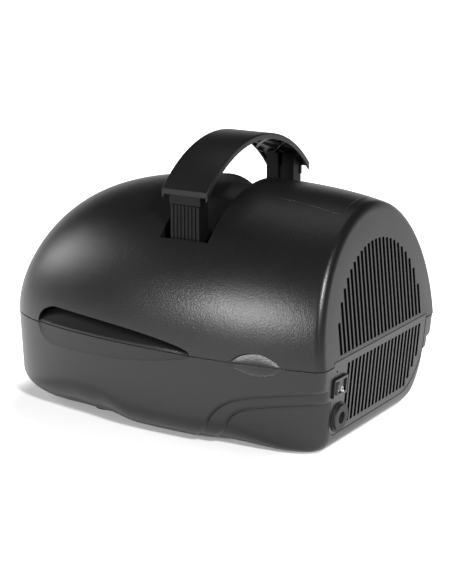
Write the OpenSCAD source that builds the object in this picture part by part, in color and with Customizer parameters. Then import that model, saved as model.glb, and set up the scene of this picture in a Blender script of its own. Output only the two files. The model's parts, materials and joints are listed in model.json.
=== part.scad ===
// Car dryer blower with a pull-up handle: clamshell body, intake end, two-stage fan and motor.
// Millimetres. X runs along the barrel (intake end at +X, hose end at -X), -Y is the switch side,
// Z is up and z = 0 is the ground under the feet.

/* [Body] */
// Overall length of the body
body_l = 320; // [300:1:345]
// Overall width of the body
body_w = 232; // [222:1:246]
// Height of the split line between the shells above the ground
split_z = 74; // [70:1:80]
// Rise of the barrel above the split line
barrel_rise = 119.6; // [114:0.2:124]
// Wall thickness of both shells
wall = 3; // [2.4:0.1:4]
// Radius of the rim around the intake end's upper half
end_edge_r = 6; // [4:0.5:8]
// Radius of the upright edges beside the end panel
tub_edge_r = 8; // [5:0.5:9]
// Backward lean of the upper half of the intake end, degrees
end_lean_up = 5.8; // [3:0.1:7]
// Inward lean of the lower half of the intake end, degrees
end_lean_down = 4.9; // [2:0.1:6]
// Draft of the lower shell's sides, degrees
side_draft = 1.8; // [0.5:0.1:3]
// Radius of the lower shell's bottom edge around the nose and along the middle
bottom_r = 22; // [18:1:26]
// Radius of the bottom edge where it is softest, behind the nose
bottom_soft_r = 32; // [28:1:36]
// Radius of the bottom edge at the corner by the cord entry
bottom_near_r = 5; // [4:0.5:8]
// Radius of the bottom edge at the intake end's other corner
bottom_far_r = 44; // [36:1:46]
// Radius of the lower shell's bottom edge under the end panel
end_bottom_r = 13; // [10:0.5:13.5]
// Depth of each swept step in the lower sides at its foot
step_foot_depth = 2.6; // [1.6:0.1:3.2]
// Depth of each swept step where it meets the intake end
step_end_depth = 5.8; // [4:0.1:6]
// Narrowing of the body towards the intake end, as a share of its half width
end_pinch = 0.174; // [0.12:0.002:0.2]
// Fall of the barrel's crown towards the intake end, as a share of its rise
crown_drop = 0.09; // [0.04:0.005:0.12]

/* [Handle] */
// Width of the grip along the barrel
grip_w = 42.4; // [36:0.2:46]
// Radius of the grip's outer face
grip_r = 114; // [108:1:120]
// Half length of the grip across the barrel
grip_half_y = 82; // [76:1:86]
// Depth of the grip's flanges with its skin
grip_depth = 7; // [6:0.5:8]
// Thickness of the grip's skin
grip_skin = 3; // [2.4:0.2:3.6]
// Thickness of the grip's flanges and ribs
grip_rib = 2; // [1.6:0.2:2.6]
// How far the handle slides up out of its groove
handle_travel = 36; // [28:1:38]
// Place of the handle's middle along the barrel
handle_x = 25; // [15:1:30]
// Gap between the grip and each side of its groove
grip_gap = 1.2; // [0.8:0.1:2]
// Width of a post along the barrel
post_w = 26.6; // [22:0.2:30]
// Depth of a post across the barrel
post_d = 13.4; // [11:0.2:15]
// Running gap between a post and its sleeve
post_gap = 0.4; // [0.3:0.05:0.6]
// Length of the sleeves that guide the posts
sleeve_l = 26; // [20:1:30]

/* [Intake end] */
// Pitch of the intake slots
slot_pitch = 6.35; // [5.5:0.05:8]
// Width of an intake slot
slot_w = 3.2; // [2.4:0.1:4]
// Radius of the upper grille's arch
grille_r = 73; // [66:1:78]
// Half width of the end panel
panel_half_w = 82; // [80:0.5:84]
// Height of the end panel's top edge above the split line
panel_top = 2.5; // [1.5:0.5:4]
// Height of the end panel's bottom edge above the ground
panel_bottom = 15.5; // [15:0.5:16.5]
// Corner radius of the end panel beside the cord entry
panel_corner_r = 10; // [6:1:14]
// Radius of the end panel's other lower corner
panel_far_r = 40; // [36:1:42]

/* [Switch and cord entry] */
// Width of the switch bezel
switch_w = 21; // [19:0.5:23]
// Height of the switch bezel
switch_h = 15; // [13:0.5:17]
// How far the switch bezel stands proud of the panel
switch_proud = 2.2; // [1.6:0.2:3]
// Distance of the switch's middle from the body's middle plane
switch_y = 71.5; // [68:0.5:72]
// Height of the switch's middle above the ground
switch_z = 55.6; // [53:0.2:58]
// Tilt of the rocker to each side of level, degrees
rocker_tilt = 10; // [6:1:12]
// Outer diameter of the cord bush
bush_d = 21; // [18:0.5:23]
// Bore of the cord bush
bush_bore = 9.8; // [8:0.2:11]
// How far the cord bush stands proud of the panel
bush_proud = 3.2; // [2:0.2:4]
// Height of the cord entry above the ground
bush_z = 29; // [28.5:0.5:31]
// Distance of the cord entry from the body's middle plane
bush_y = 67; // [65:0.5:69]

/* [Outlet and feet] */
// Bore of the hose socket
socket_d = 38; // [34:0.5:42]
// Wall of the hose socket
socket_wall = 4; // [3:0.5:5]
// Depth of the hose socket
socket_l = 34; // [28:1:40]
// Diameter of a foot pad
foot_d = 24; // [20:1:28]
// Height of a foot pad below the shell
foot_h = 1.5; // [1:0.1:2.5]

/* [Fan and motor] */
// Height of the motor's axis above the ground
motor_z = 80; // [78:1:83]
// Outer radius of the fan shroud
shroud_r = 62; // [56:1:64]
// Length of the fan shroud
shroud_l = 50; // [46:1:56]
// Thickness of the fan unit's sheet metal
sheet = 1.5; // [1:0.1:2]
// Radius of the impellers
impeller_r = 56; // [48:1:57]
// Width of an impeller
impeller_w = 15; // [12:0.5:16]
// Blades of an impeller
blades = 8; // [6:1:10]
// Shaft diameter
shaft_d = 8; // [7:0.5:9]
// Radius of the armature core
armature_r = 30; // [26:1:32]
// Length of the armature and stator cores
core_l = 50; // [44:1:54]
// Air gap between armature and stator
air_gap = 0.7; // [0.5:0.1:1]
// Outer radius of the stator core
stator_r = 46; // [44:1:48]
// Radius of the commutator
commutator_r = 14; // [12:0.5:16]
// Radial running clearance of the shaft in its bearings
bearing_gap = 0.03; // [0.02:0.01:0.08]

/* [Hidden] */
$fn = 96;
eps = 0.01;

// Body outline, s runs from 0 at the intake end to 1 at the hose end
plan_full = 2.57;        // how far the sides stay straight before the nose
plan_blunt = 5;          // bluntness of the nose in plan
pinch_reach = 3.7;       // how quickly the intake end's narrowing fades
crown_full = 4.4;        // how far the crown stays level before the nose
crown_blunt = 2.57;      // bluntness of the nose from the side
drop_reach = 6;          // how quickly the crown's fall fades
widest = 0.42;           // place of the widest and highest section
nose_s = 0.9985;         // where the nose is closed by a flat
sweep_slope = 0.172;     // climb of the swept lines along their straight run
sweep_foot_z = 15;       // height at which they leave the bottom edge
step_round = 3.5;        // height of the rounded shoulder above a swept line

x_end = body_l / 2;
shell_bottom = foot_h;
lean_up = tan(end_lean_up);
lean_down = tan(end_lean_down);
draft = tan(side_draft);
SHELL = [0.09, 0.09, 0.1];
RUBBER = [0.13, 0.13, 0.13];
METAL = [0.62, 0.63, 0.65];
STEEL = [0.42, 0.43, 0.45];
COPPER = [0.72, 0.42, 0.22];

function plan_share(s) = pow(1 - pow(s, plan_full), 1 / plan_blunt) - end_pinch * pow(1 - s, pinch_reach);
function rise_share(s) = pow(1 - pow(s, crown_full), 1 / crown_blunt) - crown_drop * pow(1 - s, drop_reach);
function half_w(s) = body_w / 2 * plan_share(s) / plan_share(widest);
function rise(s) = barrel_rise * rise_share(s) / rise_share(widest);
function s_at(x) = (x_end - x) / body_l;
// stations along the barrel, closer together towards the nose
function stations(n) = [for (i = [0:n]) let (u = i / n) nose_s * (1 - pow(1 - u, 1.9))];
// rounding of the end rim: [distance from the end, inset] for an angle from 0 to 90
function rim(r, a) = [r * (1 - cos(a)), r * (1 - sin(a))];

// A skin stretched over equal rings of points, closed at both ends by one flat face, or by flat strips
// where the ring's two halves face each other
module loft(rings, strips = false) {
    n = len(rings[0]);
    last = (len(rings) - 1) * n;
    sides = [
        for (i = [0:len(rings) - 2], j = [0:n - 1])
            let (a = i * n + j, b = i * n + (j + 1) % n)
                each [[a, a + n, b + n], [a, b + n, b]]
    ];
    front = strips ? [for (j = [0:n / 2 - 2]) [j, j + 1, n - 2 - j, n - 1 - j]] : [[for (j = [0:n - 1]) j]];
    back = [for (face = front) [for (i = [len(face) - 1:-1:0]) last + face[i]]];
    polyhedron([for (r = rings) each r], concat(sides, front, back), convexity = 8);
}

// One half-round section of the barrel, leaning with the intake end
function barrel_ring(s, inset, push, arcs) =
    let (w = half_w(s) - inset, h = rise(s) - inset, k = 1 - push * 2 / body_l)
        [
            for (j = [0:arcs])
                let (a = 180 * j / arcs, z = h * sin(a))
                    [k * (x_end - s * body_l) - lean_up * z * pow(1 - s, 5), -w * cos(a), split_z + z]
        ];

// Barrel above the split line, drawn in by t for the inner face
module barrel(t, arcs, n) {
    edge = end_edge_r;
    loft(concat(
        t > 0 ? [barrel_ring(0, t, t, arcs)] :
            [for (a = [0:30:60]) barrel_ring(rim(edge, a)[0] / body_l, rim(edge, a)[1], 0, arcs)],
        [for (s = stations(n)) if (s > edge / body_l) barrel_ring(s, t, t, arcs)]
    ));
}

// Inset at height z of a bottom edge rounded to r, for the surface t inside it
function edge_inset(z, r, t) =
    let (d = shell_bottom + r - z)
        d > 0 ? max(t, r - sqrt(max(pow(max(r - t, 0), 2) - pow(d, 2), 0))) : t;

// Radius of the bottom edge along each side, side -1 for the switch side and 1 for the other
function ease(u) = let (v = min(max(u, 0), 1)) v * v * (3 - 2 * v);
function side_r(x, side) =
    x < -10 ? bottom_r + (bottom_soft_r - bottom_r) * ease((x + 130) / 60) * ease((-10 - x) / 36)
        : side < 0 ? bottom_r + (bottom_near_r - bottom_r) * ease((x - 68) / 80)
        : bottom_r + (bottom_far_r - bottom_r) * ease((x - 92) / 56);

// Height of a swept line that climbs from the bottom edge at its foot and runs on straight to the intake end
function swept(x, top, foot, bend) =
    let (level = top - sweep_slope * (x_end - x), start = top - sweep_slope * (x_end - foot) - sweep_foot_z)
        x < foot ? sweep_foot_z - (foot - x) : level - start * exp((foot - x) / bend);
function line_a(x) = swept(x, 56, 63.4, 11);
function line_b(x) = swept(x, 46, 78.8, 6.5);

// Share of a step's depth at height h above its line: a rounded shoulder, then a sharp drop
function shoulder(h) =
    h > step_round ? 0 : h > 0 ? 0.5 * (1 - sqrt(1 - pow(1 - h / step_round, 2))) : h < -0.4 ? 1 : 0.5 - h / 0.8;
function step_depth(x, z, t) =
    let (
        along = min(max((x - 60) / (x_end - 60), 0), 1),
        depth = step_foot_depth + (step_end_depth - step_foot_depth) * along
    )
        depth * (shoulder(z - line_a(x + t) - t) + shoulder(z - line_b(x + t) - t));

// Half width of the lower shell at a station, and the place of its end wall
function tub_half(s, x, z, t, side) =
    half_w(s) - draft * (split_z - z) - edge_inset(z, side_r(x, side), t) - step_depth(x, z, t);
function tub_end(z, t) = x_end - lean_down * (split_z - z) - edge_inset(z, end_bottom_r, t);

// stations of the lower shell from the intake end to the nose, closer together at the feet of the steps
tub_x = concat(
    [for (x = [148:-15:103]) x], [for (x = [97:-6:49]) x], [for (x = [30:-22:-102]) x],
    [for (i = [1:7]) -102 - (x_end * (2 * nose_s - 1) - 102) * sin(90 * i / 7)]
);

function falling(v) = len(v) < 2 ? v :
    let (rest = [for (i = [1:len(v) - 1]) v[i]])
        concat(falling([for (a = rest) if (a > v[0]) a]), [v[0]], falling([for (a = rest) if (a <= v[0]) a]));

// falling levels kept apart, so that no two of a section's points fall together
function spaced(v, i = 0) = i == len(v) - 1 ? [v[i]] :
    let (rest = spaced(v, i + 1)) concat([max(v[i], rest[0] + 0.35)], rest);

// Levels of a section of the lower shell, from the split line down, so that some follow the swept lines
function tub_levels(x, t) =
    let (
        z0 = shell_bottom + t,
        up = max(side_r(x, -1), side_r(x, 1)) - t,
        steps = t > 0 ? [step_round, -0.4] : [step_round, 0.35 * step_round, 0, -0.4],
        bottom = [for (i = [0:7]) z0 + (i < 7 ? up * (1 - sin(90 * i / 7)) : 0)],
        lines = [for (h = steps, line = [line_a(x + t), line_b(x + t)]) max(line + t + h, z0 + 0.01)]
    )
        concat([split_z], spaced(falling(concat(bottom, [split_z - 8], lines))));

// One section of the lower shell on one side, as points from the split line down
function tub_section(x, t, side, back, drawn) =
    let (s = s_at(x))
        [
            for (z = tub_levels(x, t))
                let (x1 = tub_end(z, t), x0 = -x_end + tub_nose(z, t), k = (x + x_end) / body_l)
                    [
                        back < 0 ? x0 + k * (x1 - x0) : x1 - back,
                        side * max(tub_half(s, x, z, t, side) - drawn, 2),
                        z
                    ]
        ];
function tub_nose(z, t) = draft * (split_z - z) + edge_inset(z, bottom_r, t);

// The lower shell's form, drawn in by t for the inner face
module tub(t) {
    // a plain corner for the inner face, a rounded one outside
    corner = t > 0 ? [[0, 0]] : [for (a = [0:30:60]) rim(tub_edge_r, a)];
    half = function(side) concat(
        [for (c = corner) tub_section(x_end - c[0], t, side, c[0], c[1])],
        [for (x = tub_x) tub_section(x, t, side, -1, 0)]
    );
    near = half(-1);
    far = half(1);
    loft([
        for (k = [0:len(near[0]) - 1])
            concat([for (i = [0:len(near) - 1]) near[i][k]], [for (i = [len(far) - 1:-1:0]) far[i][k]])
    ], strips = true);
}

// Handle groove
groove_half_x = grip_w / 2 + grip_gap;
groove_half_y = grip_half_y + 1.6;
handle_s = s_at(handle_x);
grip_top_low = split_z + rise(handle_s) + 1;
grip_axis_low = grip_top_low - grip_r;
groove_floor_r = grip_top_low - split_z - grip_depth - 1.6;
post_y0 = grip_half_y - post_d;
pocket_y0 = post_y0 - 2.4;
pocket_floor = grip_axis_low + sqrt(pow(grip_r, 2) - pow(grip_half_y, 2)) - grip_depth - 5;
sleeve_bottom = pocket_floor - wall - sleeve_l;
scoop_r = 51;
scoop_z = split_z + groove_floor_r - 17 + scoop_r;

module along_x(x0, x1, r) {
    translate([x0, 0, 0]) rotate([0, 90, 0]) cylinder(r = r, h = x1 - x0);
}

module groove_slab(extra, half_y) {
    translate([handle_x - groove_half_x - extra, -half_y, split_z + 20])
        cube([2 * (groove_half_x + extra), 2 * half_y, body_w]);
}

module pocket_box(side, extra, z0) {
    y0 = pocket_y0 - extra;
    y1 = groove_half_y + extra;
    translate([handle_x - groove_half_x - extra, side > 0 ? y0 : -y1, z0])
        cube([2 * (groove_half_x + extra), y1 - y0, body_w]);
}

module sleeve_box(side, extra, z0, z1) {
    y0 = post_y0 - post_gap - extra;
    y1 = grip_half_y + post_gap + extra;
    half = post_w / 2 + post_gap + extra;
    translate([handle_x - half, side > 0 ? y0 : -y1, z0]) cube([2 * half, y1 - y0, z1 - z0]);
}

// Walls of the groove, its pockets and the post sleeves, which the barrel's skin bounds outside
module groove_walls() {
    difference() {
        groove_slab(wall, groove_half_y + wall);
        translate([0, 0, split_z])
            along_x(handle_x - body_w / 3, handle_x + body_w / 3, groove_floor_r - wall);
    }
    for (side = [-1, 1]) {
        pocket_box(side, wall, pocket_floor - wall);
        sleeve_box(side, 2, sleeve_bottom, pocket_floor);
    }
    scoop_wall();
}

module scoop_wall() {
    intersection() {
        translate([handle_x, 0, scoop_z]) sphere(r = scoop_r + wall);
        translate([handle_x - groove_half_x - wall, -scoop_r, scoop_z - scoop_r - wall])
            cube([2 * (groove_half_x + wall), 2 * scoop_r, scoop_r]);
    }
}

module groove_space() {
    difference() {
        groove_slab(0, groove_half_y);
        translate([0, 0, split_z])
            along_x(handle_x - body_w / 3, handle_x + body_w / 3, groove_floor_r);
    }
    for (side = [-1, 1]) {
        pocket_box(side, 0, pocket_floor);
        sleeve_box(side, 0, sleeve_bottom - 1, pocket_floor + 1);
    }
    intersection() {
        translate([handle_x, 0, scoop_z]) sphere(r = scoop_r);
        groove_slab(0, groove_half_y);
    }
}

// Shell screws
screw_d = 4;
screw_head_d = 7.4;
boss_d = 12;
boss_h = 22;
pilot_d = screw_d + 0.1;
screw_head_z = shell_bottom + 26;
screw_tip_z = split_z + 14;
screw_inset = bottom_soft_r;
screw_places = [
    for (x = [-106, -28, 98], side = [-1, 1]) [x, side * (half_w(s_at(x)) - screw_inset)]
];

// A boss in the upper shell, with a web that ties it to the side wall
module upper_boss(x, y) {
    translate([x, y, split_z - 1]) cylinder(d = boss_d, h = boss_h + 1);
    translate([x - wall / 2, y > 0 ? y : y - body_w / 4, split_z - 1]) cube([wall, body_w / 4, boss_h + 1]);
}

// Upper grille
slot_side = floor((grille_r - slot_w / 2) / slot_pitch);
grille_foot = split_z + 6;

// A slot through an end wall that leans by the given angle
module end_slot(y, z0, z1, lean) {
    translate([x_end, y, split_z])
        rotate([0, lean, 0])
            translate([-4 * wall, -slot_w / 2, z0 - split_z])
                cube([8 * wall, slot_w, z1 - z0]);
}

module upper_slots() {
    for (i = [-slot_side:slot_side]) {
        y = i * slot_pitch;
        end_slot(y, grille_foot, grille_foot + 4 + sqrt(pow(grille_r, 2) - pow(y, 2)), -end_lean_up);
    }
}

module socket_hole(gap) {
    translate([0, 0, split_z])
        along_x(-x_end - 2, -x_end + 4 * wall, socket_d / 2 + socket_wall + gap);
}

module upper_shell() color(SHELL) {
    difference() {
        barrel(0, 28, 16);
        // the hollow inside, with the groove's walls and the bosses left standing in it
        difference() {
            translate([0, 0, -eps]) barrel(wall, 24, 12);
            groove_walls();
            for (p = screw_places) upper_boss(p[0], p[1]);
        }
        groove_space();
        upper_slots();
        panel_notch();
        socket_hole(0.2);
        for (p = screw_places)
            translate([p[0], p[1], split_z - 1]) cylinder(d = pilot_d, h = boss_h - 3);
    }
}

module lower_shell() color(SHELL) {
    difference() {
        tub(0);
        // the hollow inside, with the bosses left standing in it just short of the upper ones
        difference() {
            translate([0, 0, eps]) tub(wall);
            for (p = screw_places) translate([p[0], p[1], 0]) cylinder(d = boss_d, h = split_z - 0.1);
        }
        panel_window();
        socket_hole(0.2);
        for (p = screw_places) {
            translate([p[0], p[1], 0]) cylinder(d = screw_head_d + 0.8, h = screw_head_z);
            translate([p[0], p[1], 0]) cylinder(d = screw_d + 0.5, h = split_z + 1);
        }
        for (p = foot_places) translate([p[0], p[1], -1]) cylinder(d = foot_d + 0.4, h = shell_bottom + foot_inset + 1);
    }
}

// End panel, drawn flat in Y and Z and then leant with the lower end wall
function arc(c, r, a0, a1, n) = [for (i = [0:n]) let (a = a0 + (a1 - a0) * i / n) c + r * [cos(a), sin(a)]];

module panel_outline(grow, top) {
    bottom = split_z - panel_bottom + grow;
    half = panel_half_w + grow;
    near_r = panel_corner_r + grow;
    far_r = panel_far_r + grow;
    polygon(concat(
        [[half, top], [-half, top]],
        arc([-half + near_r, -bottom + near_r], near_r, 180, 270, 8),
        arc([half - far_r, -bottom + far_r], far_r, 270, 360, 14)
    ));
}

// Panel coordinates: x outward from the face, y across the body, z up from the split line
module on_panel() {
    translate([x_end - lean_down * panel_top, 0, split_z]) rotate([0, end_lean_down, 0]) children();
}

module panel_prism(grow, top, x0, x1) {
    on_panel() translate([x0, 0, 0]) rotate([90, 0, 90]) linear_extrude(x1 - x0) panel_outline(grow, top);
}

module panel_window() {
    panel_prism(panel_gap, 2 * panel_top, -4 * wall, 4 * wall);
}

module panel_notch() {
    on_panel() translate([-4 * wall, -panel_half_w - panel_gap, -4])
        cube([8 * wall, 2 * (panel_half_w + panel_gap), 4 + panel_top + panel_gap]);
}

panel_gap = 0.15;
flange_w = 1.2;
flange_t = 2;
rim_w = 5;
lower_slot_first = -9;
lower_slot_top = 71;
lower_slot_foot = 20.5;
far_slot_y = 53;
far_slot_climb = 1.3;

// Height of a lower slot's foot, which climbs towards the panel's large corner
function slot_foot(y) = lower_slot_foot + far_slot_climb * max(y - far_slot_y, 0);

module end_panel() color(SHELL) {
    difference() {
        union() {
            panel_prism(0, panel_top, -wall - flange_t, 0);
            // flange behind the shell's wall, which stops short of the rounded bottom edge
            difference() {
                panel_prism(flange_w, -1, -wall - flange_t, -wall - 0.25);
                translate([x_end - 30, -body_w, 0]) cube([40, 2 * body_w, shell_bottom + end_bottom_r + 3]);
            }
        }
        // thinned to the shell's wall inside its rim
        panel_prism(-rim_w, -rim_w, -wall - flange_t - 1, -wall);
        for (i = [lower_slot_first:slot_side])
            end_slot(i * slot_pitch, slot_foot(i * slot_pitch), lower_slot_top, end_lean_down);
        on_switch() translate([-4 * wall, -switch_cut_w / 2, -switch_cut_h / 2])
            cube([8 * wall, switch_cut_w, switch_cut_h]);
        on_bush() translate([-4 * wall, 0, 0]) rotate([0, 90, 0]) cylinder(d = bush_neck_d + 0.3, h = 8 * wall);
    }
}

foot_inset = 1.2;
foot_y = 69;
// the fourth foot stands on the flat bottom, clear of the big rounded corner
foot_places = [[-60, -foot_y], [-60, foot_y], [122, -foot_y], [103, foot_y - 18]];

// Switch: a snap-in rocker switch whose rocker tips about an upright axis
switch_cut_w = switch_w - 2.3;
switch_cut_h = switch_h - 2.3;
switch_depth = 20;
rocker_gap = 0.35;
rocker_w = switch_w - 4;
rocker_h = switch_h - 5;
rocker_rise = 3.2;
pivot_x = -1;
pivot_d = 2.4;
pivot_l = switch_cut_h - 0.9;

module on_switch() {
    on_panel() translate([0, -switch_y, (switch_z - split_z) / cos(end_lean_down)]) children();
}

module switch_body() color(RUBBER) {
    on_switch() difference() {
        union() {
            translate([0, -switch_w / 2, -switch_h / 2]) cube([switch_proud, switch_w, switch_h]);
            translate([-switch_depth, -switch_cut_w / 2 + 0.15, -switch_cut_h / 2 + 0.15])
                cube([switch_depth + eps, switch_cut_w - 0.3, switch_cut_h - 0.3]);
            for (y = [-6, 0, 6])
                translate([-switch_depth - 7, y - 0.4, -2.4]) cube([7.5, 0.8, 4.8]);
        }
        translate([-6.5, -rocker_w / 2 - rocker_gap, -rocker_h / 2 - rocker_gap])
            cube([20, rocker_w + 2 * rocker_gap, rocker_h + 2 * rocker_gap]);
        translate([pivot_x, 0, -pivot_l / 2 - 0.1]) cylinder(d = pivot_d + 0.1, h = pivot_l + 0.2);
    }
}

// The rocker seen along its pivot: a shallow V outside, and ends that turn inside the frame
module rocker_profile() {
    low = sqrt(pow(rocker_w / 2, 2) - 0.36);
    high = sqrt(pow(rocker_w / 2, 2) - pow(rocker_rise, 2));
    translate([pivot_x, 0]) polygon([
        [-3.4, -2], [-3.4, 2], [-0.6, low], [rocker_rise, high],
        [rocker_rise - 1.3, 0], [rocker_rise, -high], [-0.6, -low]
    ]);
}

module switch_rocker() color(RUBBER) {
    on_switch() translate([pivot_x, 0, 0]) rotate([0, 0, rocker_tilt]) translate([-pivot_x, 0, 0]) {
        translate([0, 0, -rocker_h / 2]) linear_extrude(rocker_h) rocker_profile();
        translate([pivot_x, 0, -pivot_l / 2]) cylinder(d = pivot_d, h = pivot_l);
    }
}

// Cord bush
bush_neck_d = bush_d - 5;
module on_bush() {
    on_panel() translate([0, -bush_y, (bush_z - split_z) / cos(end_lean_down)]) children();
}

module cord_bush() color(RUBBER) {
    on_bush() rotate([0, 90, 0]) difference() {
        union() {
            cylinder(d = bush_d, h = bush_proud);
            cylinder(d = bush_d + 3.4, h = 0.8);
            translate([0, 0, -wall - flange_t - 2.4]) cylinder(d = bush_neck_d, h = wall + flange_t + 3);
            translate([0, 0, -wall - flange_t - 2.5]) cylinder(d = bush_d - 1, h = 2.4);
        }
        translate([0, 0, -20]) cylinder(d = bush_bore, h = 40);
    }
}

module feet() color(RUBBER) {
    for (p = foot_places) translate([p[0], p[1], 0]) cylinder(d = foot_d, h = foot_h + foot_inset - 0.02);
}

module shell_screws() color(METAL) {
    for (p = screw_places) translate([p[0], p[1], 0]) {
        translate([0, 0, screw_head_z - 3]) cylinder(d = screw_head_d, h = 3);
        translate([0, 0, screw_head_z - 1]) cylinder(d = screw_d, h = screw_tip_z - screw_head_z + 1);
    }
}

// Hose socket
collar_flange_x = -x_end + 10;
collar_proud = 2.1;

module ring_x(x0, x1, r0, r1) {
    difference() {
        along_x(x0, x1, r1);
        along_x(x0 - 1, x1 + 1, r0);
    }
}

module outlet_collar() color(SHELL) {
    translate([0, 0, split_z]) difference() {
        union() {
            along_x(-x_end - collar_proud, -x_end + socket_l, socket_d / 2 + socket_wall);
            along_x(collar_flange_x, collar_flange_x + 3, socket_d / 2 + socket_wall + 5);
        }
        along_x(-x_end - 20, -x_end + socket_l + 20, socket_d / 2);
    }
}

module collar_seal() color(RUBBER) {
    translate([0, 0, split_z])
        ring_x(collar_flange_x - 2.3, collar_flange_x, socket_d / 2 + socket_wall + 0.1, socket_d / 2 + socket_wall + 4);
}

// Station of the section that passes through x at height z below the split line, and at angle a above it:
// the sections lean with the intake end and follow the rounded nose
function tub_station(x, z) =
    let (x0 = tub_nose(z, wall) - x_end, x1 = tub_end(z, wall)) body_l * (x - x0) / (x1 - x0) - x_end;
function barrel_station(x, a) =
    x / (1 - 2 * wall / body_l) + lean_up * rise(s_at(x)) * sin(a) * pow(1 - s_at(x), 5);

// Outline of the space inside both shells at x, drawn in by gap, as points across and up
function inner_outline(x, gap) =
    let (
        inset = wall + gap,
        floor_z = shell_bottom + wall + (gap > skin_gap ? gap : 0.05),
        levels = [for (i = [0:27]) floor_z + (split_z - floor_z) * pow(i / 28, 1.3)],
        lower = function(z, side) let (u = tub_station(x, z)) [side * tub_half(s_at(u), u, z, inset, side), z],
        upper = function(a) let (s = s_at(barrel_station(x, a)))
            [(half_w(s) - inset) * cos(a), split_z + (rise(s) - inset) * sin(a)]
    )
        concat(
            [for (z = levels) lower(z, 1)],
            [for (j = [0:24]) upper(180 * j / 24)],
            [for (i = [len(levels) - 1:-1:0]) lower(levels[i], -1)]
        );

module slab_x(x0, x1) {
    translate([x0, 0, 0]) rotate([90, 0, 90]) linear_extrude(x1 - x0) children();
}

// Fan and motor stations along X
skin_gap = 1.2;
bulkhead_x = 56;
bulkhead_t = 4;
gasket_t = 2;
fan_x = bulkhead_x + bulkhead_t + gasket_t;
plate_t = 2;
flange_r = shroud_r + 4;
motor_r = stator_r + 0.3;
frame_t = 2.2;
frame_r = motor_r + frame_t;
core_x = 10 - core_l / 2;
winding_l = 11;
commutator_l = 16;
commutator_x = core_x - winding_l - 2 - commutator_l;
brush_end_x = commutator_x - 8;
bearing_w = 7;
bearing_r = 11;
hub_r = 15;
shaft_r = shaft_d / 2;
stage_gap = 2.5;
inner_stage_x = fan_x + plate_t + stage_gap;
diffuser_x = inner_stage_x + impeller_w + stage_gap;
vane_h = 3;
outer_stage_x = diffuser_x + sheet + vane_h + stage_gap;
shroud_end = max(fan_x + shroud_l, outer_stage_x + impeller_w + stage_gap + sheet);
eye_r = 22;
nut_l = 5;

module on_axis() {
    translate([0, 0, motor_z]) children();
}

module bulkhead() color(SHELL) {
    difference() {
        slab_x(bulkhead_x, bulkhead_x + bulkhead_t) polygon(inner_outline(bulkhead_x + bulkhead_t, skin_gap));
        on_axis() along_x(bulkhead_x - 1, bulkhead_x + bulkhead_t + 1, frame_r + 1.5);
    }
}

module motor_gasket() color(RUBBER) {
    on_axis() ring_x(fan_x - gasket_t, fan_x, frame_r + 2, flange_r);
}

module fan_end_plate() color(METAL) {
    on_axis() difference() {
        union() {
            along_x(fan_x, fan_x + plate_t, flange_r);
            along_x(fan_x - bearing_w - 2, fan_x + eps, hub_r);
        }
        along_x(fan_x - bearing_w - 3, fan_x - 1, bearing_r + 0.02);
        along_x(fan_x - 2, fan_x + plate_t + 1, shaft_r + 1.5);
        for (a = [0:60:300]) rotate([a, 0, 0])
            translate([fan_x - 1, 0, (hub_r + motor_r) / 2]) rotate([0, 90, 0]) cylinder(r = 9, h = plate_t + 2);
    }
}

module fan_shroud() color(METAL) {
    x0 = fan_x + plate_t;
    on_axis() difference() {
        union() {
            along_x(x0, shroud_end, shroud_r);
            along_x(x0, x0 + sheet, flange_r);
        }
        along_x(x0 - 1, shroud_end - sheet, shroud_r - sheet);
        along_x(x0, shroud_end + 1, eye_r);
    }
}

module fan_diffuser() color(METAL) {
    on_axis() {
        ring_x(diffuser_x, diffuser_x + sheet, eye_r - 4, shroud_r - sheet - 0.3);
        for (a = [0:45:315]) rotate([a, 0, 0])
            translate([diffuser_x + sheet - eps, 0, 0]) slab_x(0, vane_h) fan_blade(eye_r, shroud_r - sheet - 2, -35);
    }
}

// A blade from radius r0 to r1 that sweeps through an angle, seen along the shaft
module fan_blade(r0, r1, sweep) {
    n = 8;
    mid = [for (i = [0:n]) let (u = i / n, r = r0 + (r1 - r0) * u, a = sweep * u * u) r * [cos(a), sin(a)]];
    side = [for (i = [0:n]) let (u = i / n, a = 90 + 2.2 * sweep * u) 0.6 * [cos(a), sin(a)]];
    polygon(concat(
        [for (i = [0:n]) mid[i] + side[i]],
        [for (i = [n:-1:0]) mid[i] - side[i]]
    ));
}

module impeller(x0) color(METAL) {
    on_axis() difference() {
        union() {
            along_x(x0, x0 + 1, impeller_r);
            along_x(x0, x0 + impeller_w, 9);
            ring_x(x0 + impeller_w - 1, x0 + impeller_w, eye_r - 2, impeller_r);
            for (i = [0:blades - 1]) rotate([360 * i / blades, 0, 0])
                translate([x0 + 0.5, 0, 0]) slab_x(0, impeller_w - 1) fan_blade(eye_r - 4, impeller_r - 0.5, 50);
        }
        along_x(x0 - 1, x0 + impeller_w + 1, shaft_r + 0.02);
    }
}

module impeller_outer() impeller(outer_stage_x);

module impeller_inner() impeller(inner_stage_x);

module impeller_spacer() color(METAL) {
    on_axis() ring_x(inner_stage_x + impeller_w, outer_stage_x, shaft_r + 0.02, 7);
}

module impeller_nut() color(STEEL) {
    x0 = outer_stage_x + impeller_w;
    on_axis() difference() {
        translate([x0, 0, 0]) rotate([0, 90, 0]) cylinder(r = 7, h = nut_l, $fn = 6);
        along_x(x0 - 1, x0 + nut_l + 1, shaft_r + 0.02);
    }
}

module motor_shaft() color(STEEL) {
    on_axis() along_x(brush_end_x - bearing_w - 5, outer_stage_x + impeller_w + nut_l + 1, shaft_r);
}

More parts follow.
